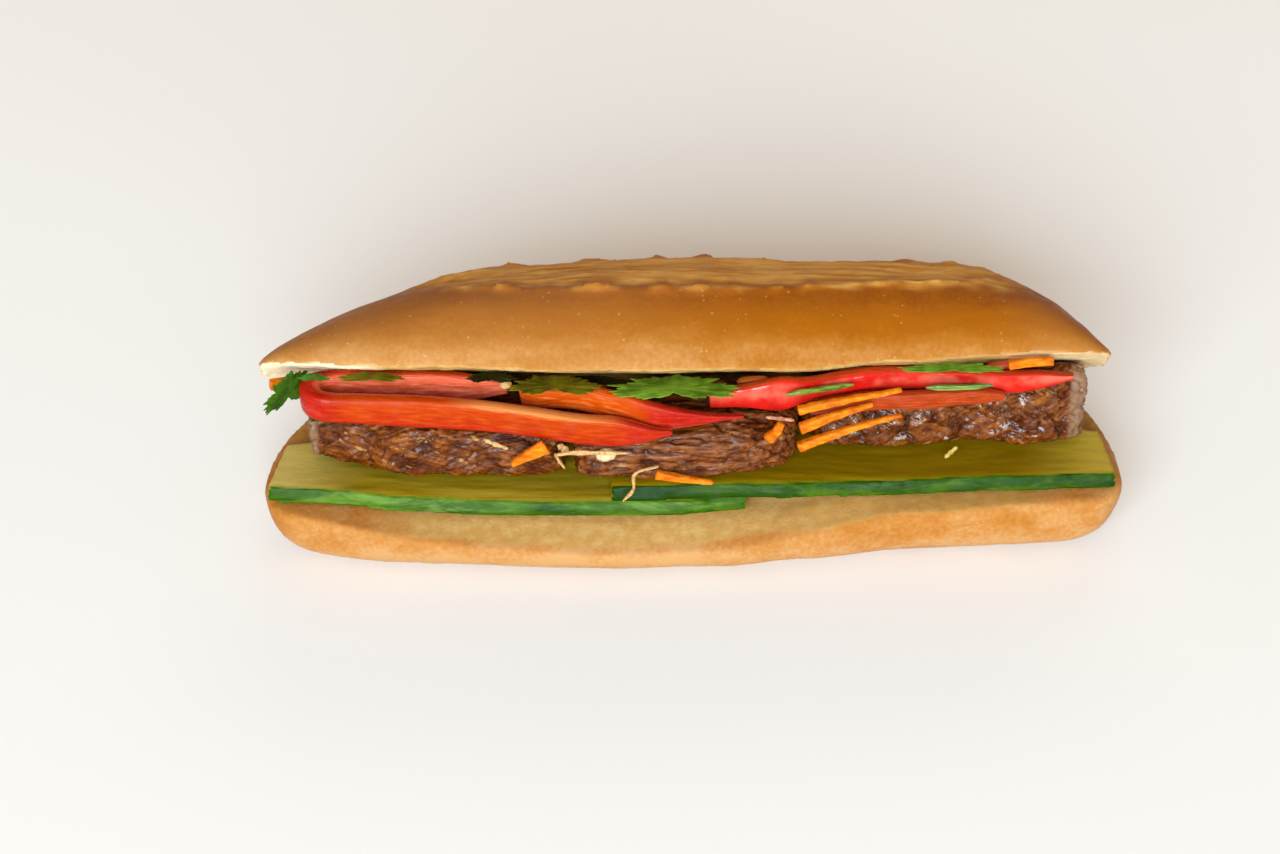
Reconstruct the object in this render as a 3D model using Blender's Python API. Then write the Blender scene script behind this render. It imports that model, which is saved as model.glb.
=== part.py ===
"""Banh mi sandwich: a split roll that stays hinged along its back, propped open over
cucumber, braised beef, red pepper, coriander and carrot.

The sandwich rests on the flat underside of the roll. X runs along the roll, -Y is the
open front and +Z is up. Sizes below are in millimetres; meshes are made in metres.
"""

import math

import bmesh
import bpy
from mathutils import Vector, noise

MM = 0.001
GAP = 0.3
LAID_GAP = 0.35
LID_CLEARANCE = 0.9

# The roll
BASE_ENDS = (-124.0, 125.0)
LID_ENDS = (-124.6, 121.0)
BACK = 37.0
BASE_HEIGHT = 17.5
BASE_CORNER = 10.5
LID_HEIGHT = 33.5
OPENING = math.radians(40.0)
HINGE_RADIUS = 3.8
HINGE_REACH = 82.0
HINGE_INSET = 3.4
HINGE_RISE = 0.5
LID_SPACING = 4.3
BASE_SPACING = 6.6
CRUST_UNEVENNESS = 0.5

# The slash along the top of the roll
SLASH_START = -92.0
SLASH_END = 103.0
SLASH_LIP_RISE = 23.5
SLASH_DEPTH = 1.2
TOOTH_HEIGHT = 1.7
TOOTH_WIDTH = 2.6

# Crisp teeth along the slash's two lips: the place along the roll and the size of each
FRONT_TEETH = (
    (-54.0, 1.0),
    (-28.0, 1.3),
    (-9.0, 1.0),
    (1.5, 1.0),
    (11.0, 0.7),
    (24.0, 0.5),
    (33.0, 0.8),
    (55.0, 0.9),
    (70.0, 0.5),
)
BACK_TEETH = (
    (-88.0, 0.6),
    (-53.5, 0.9),
    (-29.5, 1.5),
    (-10.5, 1.0),
    (3.5, 1.2),
    (21.0, 0.6),
    (31.0, 0.7),
    (43.0, 0.6),
    (62.0, 0.8),
    (76.0, 0.6),
    (86.0, 0.7),
    (95.0, 0.7),
)

# The filling
CUCUMBER_RADIUS = 19.0
CUCUMBER_THICK = 4.6
CUCUMBER_OFFSET = 5.0
CUCUMBER_WIDTH = 21.0
BEEF_SPACING = 4.6
BEEF_TURNS = 22
BEEF_LUMPS = 1.5
BEEF_TEARS = 1.1
SEED_RADII = (2.2, 1.3, 1.7)
PEPPER_WALL = 4.4
RING_HEIGHT = 9.4
RING_BEND = 0.35
CARROT_THICK = 2.6
STRAND_THICK = 1.0
LEAF_THICK = 0.7
LARGE_LEAF = 10.0

COLOURS = {
    "crust": (0.60, 0.24, 0.05, 1.0),
    "cucumber": (0.25, 0.30, 0.05, 1.0),
    "beef": (0.16, 0.06, 0.02, 1.0),
    "pepper": (0.63, 0.04, 0.02, 1.0),
    "carrot": (0.68, 0.17, 0.01, 1.0),
    "leaf": (0.04, 0.12, 0.01, 1.0),
    "strand": (0.60, 0.42, 0.22, 1.0),
}
ROUGHNESS = {
    "crust": 0.6,
    "cucumber": 0.35,
    "beef": 0.4,
    "pepper": 0.25,
    "carrot": 0.4,
    "leaf": 0.5,
    "strand": 0.5,
}


def clear_scene():
    for obj in list(bpy.data.objects):
        bpy.data.objects.remove(obj)


def smooth(low, high, value):
    """0 below low, 1 above high, and a smooth step between them."""
    t = min(1.0, max(0.0, (value - low) / (high - low)))
    return t * t * (3.0 - 2.0 * t)


def bell(value, centre, width):
    return math.exp(-(((value - centre) / width) ** 2))


def power(value, exponent):
    """value to the exponent, keeping its sign."""
    return math.copysign(abs(value) ** exponent, value)


def along(stops, value):
    """Smoothly joined value at a place along a row of (place, value) stops."""
    if value <= stops[0][0]:
        return stops[0][1]
    for (a, low), (b, high) in zip(stops, stops[1:]):
        if value <= b:
            return low + (high - low) * smooth(a, b, value)
    return stops[-1][1]


def material(kind):
    found = bpy.data.materials.get(kind)
    if found:
        return found
    made = bpy.data.materials.new(kind)
    made.use_nodes = True
    shader = made.node_tree.nodes["Principled BSDF"]
    shader.inputs["Base Color"].default_value = COLOURS[kind]
    shader.inputs["Roughness"].default_value = ROUGHNESS[kind]
    shader.inputs["Metallic"].default_value = 0.0
    return made


def add_object(name, bm, kind, collection):
    """Turns a bmesh in millimetres into a named object in metres."""
    bm.normal_update()
    bmesh.ops.recalc_face_normals(bm, faces=bm.faces)
    bmesh.ops.scale(bm, vec=(MM, MM, MM), verts=bm.verts)
    mesh = bpy.data.meshes.new(name)
    bm.to_mesh(mesh)
    bm.free()
    mesh.shade_smooth()
    mesh.set_sharp_from_angle(angle=math.radians(40.0))
    mesh.materials.append(material(kind))
    obj = bpy.data.objects.new(name, mesh)
    collection.objects.link(obj)
    return obj


def loft(name, rings, first_tip, last_tip, kind, collection):
    """A closed skin over a row of rings with the same number of points, with a tip at each end."""
    bm = bmesh.new()
    rows = [[bm.verts.new(point) for point in ring] for ring in rings]
    count = len(rows[0])
    for row, following in zip(rows, rows[1:]):
        for i in range(count):
            j = (i + 1) % count
            bm.faces.new((row[i], row[j], following[j], following[i]))
    for row, tip in ((rows[0], first_tip), (rows[-1], last_tip)):
        point = bm.verts.new(tip)
        for i in range(count):
            bm.faces.new((row[i], row[(i + 1) % count], point))
    return add_object(name, bm, kind, collection)


# The roll


def plan(x, ends):
    """Front and back of the roll at x: a straight back, a bowed front and blunt ends."""
    left, right = ends
    left_bow = [(-118.0, 30.8), (-84.0, 34.2), (-30.0, 36.0)]
    right_bow = [(6.0, 35.4), (34.0, 32.4), (62.0, 28.6), (106.0, 25.8)]
    front_full = -along(left_bow + right_bow, x)
    if x < 0.0:
        share, tip, square = min(1.0, x / left), -15.0, 6.5
    else:
        share, tip, square = min(1.0, x / right), -13.0, 11.0
    front = tip + (front_full - tip) * (1.0 - share**24.0) ** 0.5
    back = tip + (BACK - tip) * (1.0 - share**square) ** 0.62
    return front, back


def base_rise(x):
    """How much higher the bottom half's cut face is towards the ends of the roll."""
    return 2.2 * smooth(50.0, 125.0, -x) + 3.4 * smooth(17.0, 50.0, x)


def base_cut(x, y):
    """Height of the bottom half's cut face. Its front lip is torn down lower in the middle."""
    depth = along([(-118.0, 0.5), (-60.0, 5.4), (-20.0, 6.2), (36.0, 5.6), (80.0, 3.4), (116.0, 1.0)], x)
    lip = depth * max(0.0, (-16.0 - y) / 18.5) ** 2
    return BASE_HEIGHT + base_rise(x) * (1.0 - smooth(20.0, 36.0, y)) - lip


def lid_cut(x, y):
    """Height of the top half's cut face while the roll is shut. The face is twisted at both ends."""
    front_stops = [(-124.0, 1.6), (-80.0, 0.4), (-30.0, -0.6), (24.0, -0.4), (58.0, 2.0), (96.0, 4.6)]
    front_rise = along(front_stops, x)
    back_rise = along([(-124.0, -2.2), (-88.0, 0.0), (84.0, 0.0), (112.0, 0.8)], x)
    front, back = plan(x, LID_ENDS)
    share = min(1.0, max(0.0, (back - y) / max(back - front, 1.0)))
    return BASE_HEIGHT + front_rise * share + back_rise * (1.0 - share)


def lid_height(x):
    """Height of the top half over its cut face: a long taper on the left, a shoulder on the right."""
    if x < 0.0:
        return LID_HEIGHT * max(0.0, 1.0 - (x / LID_ENDS[0]) ** 2.35) ** 0.75
    return LID_HEIGHT * (1.0 - 0.05 * smooth(0.0, 45.0, x)) * max(0.0, 1.0 - (x / LID_ENDS[1]) ** 5.35)


def open_lid(x, y, z):
    """A point of the shut top half, turned open about the hinge line."""
    back, up = y - BACK, z - BASE_HEIGHT
    turned_y = BACK + back * math.cos(OPENING) + up * math.sin(OPENING)
    turned_z = BASE_HEIGHT - back * math.sin(OPENING) + up * math.cos(OPENING)
    return (x, turned_y, turned_z)


def under_lid(x, y):
    """Height of the opened top half's cut face over a point (x, y)."""
    shut_y = BACK - (BACK - y) / math.cos(OPENING)
    rise = lid_cut(x, shut_y) - BASE_HEIGHT
    return BASE_HEIGHT + (BACK - y) * math.tan(OPENING) + rise / math.cos(OPENING)


def tooth_rise(teeth, x):
    return sum(size * bell(x, place, TOOTH_WIDTH) for place, size in teeth)


def lid_angles(x):
    """Angles over the crust, from the front edge to the back edge, with lines along both lips."""
    rise = min(1.0, SLASH_LIP_RISE / max(lid_height(x), 1.0))
    back = math.radians(80.0 + 20.0 * math.sin(math.pi * smooth(SLASH_START, SLASH_END, x)))
    lip = math.radians(4.0)
    front = min(back - 4.0 * lip, math.asin(rise**1.15))
    angles = [front * share for share in (0.0, 0.12, 0.28, 0.46, 0.64, 0.8)]
    angles += [front - lip, front, front + lip]
    angles += [front + lip + (back - front - 2.0 * lip) * share for share in (0.33, 0.67)]
    angles += [back - lip, back, back + lip]
    rest = math.pi - back - lip
    angles += [back + lip + rest * share for share in (0.2, 0.42, 0.64, 0.84, 1.0)]
    return angles


def slash_relief(x, place):
    """How far the crust stands out or in at one of the lines from lid_angles."""
    inside = smooth(SLASH_START, SLASH_START + 30.0, x) * (1.0 - smooth(SLASH_END - 24.0, SLASH_END, x))
    crest = {7: (0.6, FRONT_TEETH), 12: (0.4, BACK_TEETH)}
    if place in crest:
        base, row = crest[place]
        return inside * (base + TOOTH_HEIGHT * tooth_rise(row, x))
    if 8 <= place <= 11:
        return -inside * SLASH_DEPTH
    return 0.0


def lid_ring(x):
    front, back = plan(x, LID_ENDS)
    middle, half = 0.5 * (front + back), 0.5 * (back - front)
    height = lid_height(x)
    uneven = CRUST_UNEVENNESS * min(1.0, height / 8.0)
    ring = []
    for place, angle in enumerate(lid_angles(x)):
        y = middle - half * power(math.cos(angle), 2.0 / 2.3)
        rise = height * power(math.sin(angle), 2.0 / 2.3)
        out = slash_relief(x, place)
        out += uneven * math.sin(angle) * noise.noise(Vector((x * 0.045, angle * 1.6, 2.0)))
        y -= out * math.cos(angle)
        rise = max(0.0, rise + out * math.sin(angle))
        ring.append(open_lid(x, y, lid_cut(x, y) + rise))
    steps = 6
    for i in range(1, steps):
        y = back + (front - back) * i / steps
        ring.append(open_lid(x, y, lid_cut(x, y)))
    return ring


def corner(y, z, across, radius, height, steps):
    """Points round a lower edge, from the side wall to the underside; across is -1 in front, 1 behind."""
    points = []
    for i in range(steps + 1):
        angle = 0.5 * math.pi * i / steps
        points.append((y - across * radius * (1.0 - math.cos(angle)), z + height * (1.0 - math.sin(angle))))
    return points


def base_ring(x):
    front, back = plan(x, BASE_ENDS)
    left, right = BASE_ENDS
    share = x / right if x > 0.0 else x / left
    end = (1.0 - min(1.0, share) ** 20.0) ** 0.5
    top_front, top_back = base_cut(x, front), base_cut(x, back)
    bottom = (1.0 - end) * (BASE_HEIGHT + base_rise(x) - 1.0)
    width = back - front
    front_height = min(BASE_CORNER, 0.8 * (top_front - bottom))
    back_height = min(BASE_CORNER + 1.0, 0.8 * (top_back - bottom))
    front_radius = min(BASE_CORNER, 0.4 * width)
    back_radius = min(BASE_CORNER + 4.0, 0.4 * width)
    side = [(front, top_front)]
    side.append((front - 0.9, 0.55 * top_front + 0.45 * (bottom + front_height)))
    side += corner(front - 0.9, bottom, -1.0, front_radius, front_height, 5)
    low_front, low_back = side[-1][0], back - back_radius
    side += [(low_front + (low_back - low_front) * i / 3.0, bottom) for i in (1, 2)]
    rear = corner(back, bottom, 1.0, back_radius, back_height, 4)
    side += reversed(rear)
    side.append((back, top_back))
    steps = 9
    for i in range(1, steps):
        y = back + (front - back) * i / steps
        side.append((y, base_cut(x, y)))
    return [(x, y, z) for y, z in side]


def stations(ends, spacing):
    """Places along the roll: evenly spaced, then closer together towards each blunt end."""
    left, right = ends
    near = (0.9, 0.93, 0.955, 0.972, 0.984, 0.993, 0.9985)
    count = round((right - left) * 0.87 / spacing)
    middle = [0.87 * (left + (right - left) * i / count) for i in range(count + 1)]
    return [left * share for share in reversed(near)] + middle + [right * share for share in near]


def make_hinge(collection):
    """The strip of crust and crumb that the knife left along the back of the roll."""
    rings = []
    steps, turns = 20, 10
    for i in range(steps + 1):
        share = -1.0 + 2.0 * i / steps
        x = HINGE_REACH * math.sin(0.5 * math.pi * share) * 0.999
        radius = HINGE_RADIUS * max(0.1, 1.0 - abs(share) ** 8.0) ** 0.5
        y = plan(x, BASE_ENDS)[1] - HINGE_INSET
        z = BASE_HEIGHT + HINGE_RISE
        turn = [math.tau * j / turns for j in range(turns)]
        rings.append([(x, y + radius * math.cos(t), z + radius * math.sin(t)) for t in turn])
    tip_y, tip_z = BACK - HINGE_INSET - 1.0, BASE_HEIGHT + HINGE_RISE
    tips = [(side * (HINGE_REACH + 0.8), tip_y, tip_z) for side in (-1.0, 1.0)]
    return loft("hinge", rings, tips[0], tips[1], "crust", collection)


def join(target, joined, solver="EXACT"):
    """Unites an object with everything in a collection, and removes that collection.

    The exact solver leaves open edges along the hinge, so the roll is joined with the manifold one.
    """
    union = target.modifiers.new("join", "BOOLEAN")
    union.operation = "UNION"
    union.operand_type = "COLLECTION"
    union.collection = joined
    union.solver = solver
    bpy.context.view_layer.update()
    graph = bpy.context.evaluated_depsgraph_get()
    whole = bpy.data.meshes.new_from_object(target.evaluated_get(graph))
    target.modifiers.clear()
    target.data = whole
    for obj in list(joined.objects):
        bpy.data.objects.remove(obj)
    bpy.data.collections.remove(joined)
    return target


def new_collection(name):
    made = bpy.data.collections.new(name)
    bpy.context.scene.collection.children.link(made)
    return made


def make_roll(collection):
    """The whole roll as one solid: top half, bottom half and hinge, joined."""
    joined = new_collection("roll_parts")
    lid_rings = [lid_ring(x) for x in stations(LID_ENDS, LID_SPACING)]
    lid_tips = []
    for x in LID_ENDS:
        y = sum(plan(x, LID_ENDS)) * 0.5
        lid_tips.append(open_lid(x, y, lid_cut(x, y) + 0.3))
    lid = loft("bread", lid_rings, lid_tips[0], lid_tips[1], "crust", collection)
    base_rings = [base_ring(x) for x in stations(BASE_ENDS, BASE_SPACING)]
    base_tips = [(x, sum(plan(x, BASE_ENDS)) * 0.5, base_cut(x, -13.0) - 1.0) for x in BASE_ENDS]
    loft("base", base_rings, base_tips[0], base_tips[1], "crust", joined)
    make_hinge(joined)
    return join(lid, joined, "MANIFOLD")


# The cucumber


def plank_end_shift(x, x_start, x_end, back_share, slant):
    """The slanted cut of a cucumber plank's ends: how far a point moves inwards."""
    near_left = 1.0 - smooth(x_start, x_start + 20.0, x)
    near_right = smooth(x_end - 20.0, x_end, x)
    return back_share * (slant[0] * near_left - slant[1] * near_right)


def make_cucumber(name, ends, sides, slant, collection):
    """A lengthwise plank of cucumber with the rounded skin along its front edge."""
    x_start, x_end = ends
    front, bottom = sides
    low, high = CUCUMBER_OFFSET, CUCUMBER_OFFSET + CUCUMBER_THICK
    skin = []
    for k in range(4):
        height = low + (high - low) * k / 3.0
        run = math.sqrt(CUCUMBER_RADIUS**2 - low**2) - math.sqrt(CUCUMBER_RADIUS**2 - height**2)
        skin.append((run, height - low))
    steps = max(6, round((x_end - x_start) / 9.0))
    rings = []
    for i in range(steps + 1):
        x = x_start + (x_end - x_start) * i / steps
        bulge = math.sin(math.pi * i / steps)
        width = CUCUMBER_WIDTH + 9.0 * bulge
        outline = list(skin)
        outline += [(width * share, high - low) for share in (0.4, 0.7, 1.0)]
        outline += [(width * share, 0.0) for share in (1.0, 0.7, 0.4)]
        ring = []
        for back, up in outline:
            shift = plank_end_shift(x, x_start, x_end, back / width, slant)
            ring.append((x + shift, front(x) + back, bottom(x) + up))
        rings.append(ring)
    tips = []
    for ring in (rings[0], rings[-1]):
        tips.append(tuple(sum(point[axis] for point in ring) / len(ring) for axis in range(3)))
    return loft(name, rings, tips[0], tips[1], "cucumber", collection)


def left_plank_front(x):
    stops = [(-123.0, -25.0), (-104.0, -26.0), (-84.0, -28.0), (-40.0, -29.2), (-4.0, -28.8), (15.0, -26.2)]
    return along(stops, x)


def left_plank_bottom(x):
    return BASE_HEIGHT + base_rise(x) + LAID_GAP


def right_plank_front(x):
    return along([(-23.0, -28.2), (19.0, -26.6), (51.0, -24.0), (89.0, -21.8), (123.0, -20.4)], x)


def right_plank_bottom(x):
    stacked = BASE_HEIGHT + LAID_GAP + CUCUMBER_THICK + GAP
    laid = BASE_HEIGHT + base_rise(BASE_ENDS[1]) + LAID_GAP
    return stacked + (laid - stacked) * min(1.0, max(0.0, (x - 15.5) / 34.5))


# The beef


def squeeze(x, core, point):
    """Pulls a point of a section towards its core until it lies under the top half."""
    room_at_core = under_lid(x, core[0]) - LID_CLEARANCE - core[1]
    room = under_lid(x, point[0]) - LID_CLEARANCE - point[1]
    share = 1.0 if room >= 0.0 else room_at_core / (room_at_core - room)
    return core[0] + (point[0] - core[0]) * share, core[1] + (point[1] - core[1]) * share


def make_beef(name, ends, profiles, back, lean, seed, collection):
    """A braised beef chunk: a rounded block with torn, fibrous sides, squeezed under the top half."""
    x_start, x_end = ends
    front, bottom, top = profiles
    steps = max(10, round((x_end - x_start) / BEEF_SPACING))
    rings = []
    for i in range(steps + 1):
        share = i / steps
        x = x_start + (x_end - x_start) * share
        shrink = 1.0 - 0.16 * (1.0 - min(1.0, min(share, 1.0 - share) / 0.07)) ** 2
        mid_y, half_y = 0.5 * (front(x) + back), 0.5 * (back - front(x)) * shrink
        mid_z, half_z = 0.5 * (bottom(x) + top(x)), 0.5 * (top(x) - bottom(x))
        ring = []
        for j in range(BEEF_TURNS):
            angle = math.tau * j / BEEF_TURNS
            out_y, out_z = power(math.cos(angle), 0.5), power(math.sin(angle), 0.42)
            place = Vector((x * 0.11, math.cos(angle) * 1.5 + seed, math.sin(angle) * 1.5))
            grain = Vector((x * 0.35 + out_z * 0.9, angle * 1.7, seed))
            bump = BEEF_LUMPS * noise.noise(place) + BEEF_TEARS * noise.noise(grain)
            z = mid_z + half_z * out_z * (shrink if out_z > 0.0 else 1.0)
            if out_z > 0.0:
                z += 0.5 * min(bump, 0.0)
            y = mid_y + (half_y + bump * (1.0 - 0.6 * abs(out_z))) * out_y + lean * (z - bottom(x))
            y, z = squeeze(x, (mid_y, bottom(x) + 4.0), (y, z))
            side = 0.5 * bump * ((share > 0.96) - (share < 0.04))
            ring.append((x + side, y, z))
        rings.append(ring)
    tips = []
    for ring, side in ((rings[0], -0.8), (rings[-1], 0.8)):
        tip = [sum(point[axis] for point in ring) / len(ring) for axis in range(3)]
        tip[0] += side
        tips.append(tuple(tip))
    return loft(name, rings, tips[0], tips[1], "beef", collection)


def beef_left_bottom(x):
    return left_plank_bottom(x) + CUCUMBER_THICK + GAP


def beef_left_front(x):
    return along([(-110.0, -13.2), (-99.0, -15.4), (-84.0, -20.2), (-47.0, -19.8), (-37.2, -18.0)], x)


def beef_left_top(x):
    stops = [(-110.0, 42.0), (-98.0, 43.0), (-78.0, 43.0), (-60.0, 41.2), (-45.0, 40.2), (-37.2, 38.6)]
    return along(stops, x)


def right_beef_bottom(x):
    return right_plank_bottom(x) + CUCUMBER_THICK + GAP


def beef_middle_front(x):
    return along([(-33.6, -25.4), (2.0, -26.0), (15.0, -24.2), (26.0, -19.5), (29.5, -15.0)], x)


def beef_middle_top(x):
    return along([(-33.6, 41.3), (-20.0, 42.2), (-6.0, 44.6), (12.0, 45.8), (24.0, 43.6), (29.0, 42.8)], x)


def beef_right_front(x):
    left = [(33.0, -5.0), (38.0, -10.0), (52.0, -11.0), (68.0, -10.0)]
    right = [(82.0, -7.6), (99.0, -10.4), (114.0, -7.0)]
    return along(left + right, x)


def beef_right_top(x):
    return along([(33.0, 40.0), (48.0, 45.0), (90.0, 45.4), (101.0, 51.5), (114.0, 52.0)], x)


def make_beef_chunks(collection):
    left = (beef_left_front, beef_left_bottom, beef_left_top)
    middle = (beef_middle_front, right_beef_bottom, beef_middle_top)
    right = (beef_right_front, right_beef_bottom, beef_right_top)
    make_beef("beef_left", (-110.0, -37.2), left, 8.0, 0.0, 3.0, collection)
    beef = make_beef("beef_middle", (-33.6, 29.6), middle, 4.0, 0.0, 9.0, collection)
    make_beef("beef_right", (33.0, 114.0), right, 12.0, 0.24, 15.0, collection)
    joined = new_collection("seed_parts")
    make_seed("seed", (-24.8, -25.6, 38.1), joined)
    return join(beef, joined)


def make_seed(name, centre, collection):
    """A pale seed of a pepper or chilli."""
    bm = bmesh.new()
    bmesh.ops.create_icosphere(bm, subdivisions=1, radius=1.0)
    bmesh.ops.scale(bm, vec=SEED_RADII, verts=bm.verts)
    bmesh.ops.translate(bm, vec=centre, verts=bm.verts)
    return add_object(name, bm, "strand", collection)


# Pepper, carrot, strands and slivers


def spline(points):
    """A smooth route through a few points, as a function of the share of the way along it."""
    stops = [Vector(p) for p in points]
    stops = [stops[0] * 2.0 - stops[1]] + stops + [stops[-1] * 2.0 - stops[-2]]
    spans = len(stops) - 3

    def route(share):
        place = min(share * spans, spans - 1e-6)
        k = int(place)
        t = place - k
        a, b, c, d = stops[k : k + 4]
        first, second, third = c - a, 2.0 * a - 5.0 * b + 4.0 * c - d, 3.0 * b - a - 3.0 * c + d
        return 0.5 * (2.0 * b + first * t + second * t * t + third * t**3)

    return route


def sweep(name, points, half_height, half_thick, kind, collection, steps, turns=8):
    """An upright band that follows a smooth route."""
    route = spline(points)
    rings = []
    for i in range(steps + 1):
        share = i / steps
        here = route(share)
        direction = (route(min(1.0, share + 0.01)) - route(max(0.0, share - 0.01))).normalized()
        side = direction.cross(Vector((0.0, 0.0, 1.0))).normalized()
        upright = side.cross(direction).normalized()
        ring = []
        for j in range(turns):
            angle = math.tau * (j + 0.5) / turns
            across = power(math.cos(angle), 0.55) * half_thick(share)
            up = power(math.sin(angle), 0.45) * half_height(share)
            ring.append(tuple(here + side * across + upright * up))
        rings.append(ring)
    first = route(0.0) * 1.5 - route(0.01) * 0.5
    last = route(1.0) * 1.5 - route(0.99) * 0.5
    return loft(name, rings, tuple(first), tuple(last), kind, collection)


def tapered(size, start, end, blunt=0.4):
    """A half size along a band that narrows over the given shares of its two ends."""

    def half(share):
        ease = 1.0
        if share < start:
            ease = blunt + (1.0 - blunt) * math.sin(0.5 * math.pi * share / start)
        if share > 1.0 - end:
            ease = blunt + (1.0 - blunt) * math.sin(0.5 * math.pi * (1.0 - share) / end)
        return 0.5 * size * ease

    return half


def ring_height(share):
    """Half height of the ring's band, which runs out to a point at its right end."""
    return tapered(RING_HEIGHT, 0.06, 0.01)(share) * (1.0 - 0.8 * smooth(0.86, 1.0, share))


def ring_thick(share):
    """Half thickness of the ring's band, fleshier round the bend at its left end."""
    fleshy = 1.0 + 0.4 * bell(share, RING_BEND, 0.07)
    return tapered(PEPPER_WALL, 0.05, 0.15)(share) * fleshy


def fold_height(share):
    return 4.6 * (0.72 + 0.38 * bell(share, 0.55, 0.22)) * (1.0 - 0.86 * smooth(0.68, 1.0, share))


def long_height(share):
    return (3.2 + 2.2 * bell(share, 0.24, 0.1)) * (1.0 - 0.75 * smooth(0.82, 1.0, share))


def make_peppers(collection):
    """Strips of red pepper that stand on edge, each along its own route."""
    ring_route = [
        (-53.0, -7.8, 48.8),
        (-72.0, -7.8, 49.2),
        (-88.0, -8.0, 49.7),
        (-97.0, -8.3, 50.1),
        (-103.3, -8.9, 50.4),
        (-107.0, -10.4, 50.5),
        (-108.5, -13.7, 50.6),
        (-107.0, -17.0, 50.5),
        (-103.3, -18.4, 50.3),
        (-97.0, -18.6, 50.0),
        (-88.0, -18.6, 49.4),
        (-76.0, -18.6, 48.7),
        (-60.0, -18.8, 47.4),
        (-45.0, -20.6, 46.6),
        (-32.0, -23.8, 46.8),
        (-21.5, -26.0, 47.8),
        (-13.0, -27.0, 48.0),
        (-6.0, -27.2, 48.6),
    ]
    fold_route = [
        (-49.0, -12.2, 49.0),
        (-39.0, -13.8, 50.4),
        (-30.0, -16.8, 52.2),
        (-22.0, -20.0, 52.0),
        (-13.0, -22.8, 51.0),
        (0.0, -24.2, 51.2),
        (14.0, -24.4, 52.2),
    ]
    long_route = [
        (4.6, -14.5, 50.4),
        (14.0, -13.8, 50.8),
        (24.0, -12.6, 50.6),
        (32.0, -11.0, 50.8),
        (46.0, -7.5, 51.2),
        (60.0, -5.6, 50.6),
        (75.0, -5.4, 50.0),
        (89.0, -7.5, 50.8),
        (101.0, -9.4, 53.6),
        (108.0, -10.2, 54.8),
    ]
    low_route = [
        (33.0, -15.4, 46.8),
        (42.0, -12.9, 47.0),
        (52.0, -11.6, 47.0),
        (66.0, -11.2, 47.2),
        (78.0, -10.4, 48.0),
        (89.0, -11.2, 48.6),
    ]
    back_route = [(12.4, -10.2, 52.4), (17.0, -9.8, 52.8), (22.0, -9.8, 52.8)]
    dark_route = [(83.0, -3.6, 52.0), (91.0, -3.2, 53.6), (98.0, -4.0, 55.0)]
    strips = {
        "pepper_ring": (ring_route, ring_height, ring_thick, 42),
        "pepper_fold": (fold_route, fold_height, tapered(4.0, 0.08, 0.4), 24),
        "pepper_long": (long_route, long_height, tapered(3.8, 0.08, 0.2), 28),
        "pepper_low": (low_route, tapered(5.4, 0.12, 0.2), tapered(3.4, 0.1, 0.2), 16),
        "pepper_back_middle": (back_route, tapered(2.8, 0.2, 0.2), tapered(2.2, 0.2, 0.2), 6),
        "pepper_back_right": (dark_route, tapered(2.8, 0.2, 0.2), tapered(2.6, 0.2, 0.2), 6),
    }
    for name, (route, half_height, half_thick, steps) in strips.items():
        sweep(name, route, half_height, half_thick, "pepper", collection, steps)


def narrowing(first, last):
    """A half size along a strip that changes evenly from one end to the other."""

    def half(share):
        return 0.5 * (first + (last - first) * share)

    return half


def make_carrots(collection):
    """Carrot strips: three places along each one, and its width at both ends."""
    strips = {
        "carrot_left_end": ((-120.6, -9.2, 50.8), (-115.5, -7.0, 50.3), (-111.0, -5.0, 50.0), 3.6, 3.2),
        "carrot_wedge": ((-51.4, -25.6, 35.3), (-46.6, -25.8, 38.8), (-41.6, -25.4, 41.6), 1.6, 5.6),
        "carrot_stub": ((21.0, -25.4, 44.4), (23.2, -25.8, 47.4), (24.6, -25.6, 50.4), 3.4, 2.4),
        "carrot_upper": ((29.6, -18.8, 49.4), (44.0, -17.5, 52.4), (59.0, -14.8, 53.6), 2.8, 1.4),
        "carrot_middle": ((30.2, -20.6, 44.2), (40.0, -18.5, 47.2), (51.0, -15.6, 49.0), 4.0, 1.4),
        "carrot_lower": ((30.2, -18.6, 35.6), (45.6, -17.2, 41.6), (59.4, -14.9, 44.4), 3.4, 1.2),
        "carrot_right_end": ((89.2, -10.4, 59.2), (95.5, -10.0, 59.9), (102.0, -9.7, 60.0), 3.0, 3.0),
        "carrot_under": ((-10.6, -28.6, 34.0), (-2.6, -28.9, 32.6), (5.6, -28.9, 31.2), 3.0, 1.4),
    }
    for name, (start, middle, end, first, last) in strips.items():
        thick = narrowing(CARROT_THICK, 0.6 * CARROT_THICK)
        sweep(name, [start, middle, end], narrowing(first, last), thick, "carrot", collection, 4)


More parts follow.
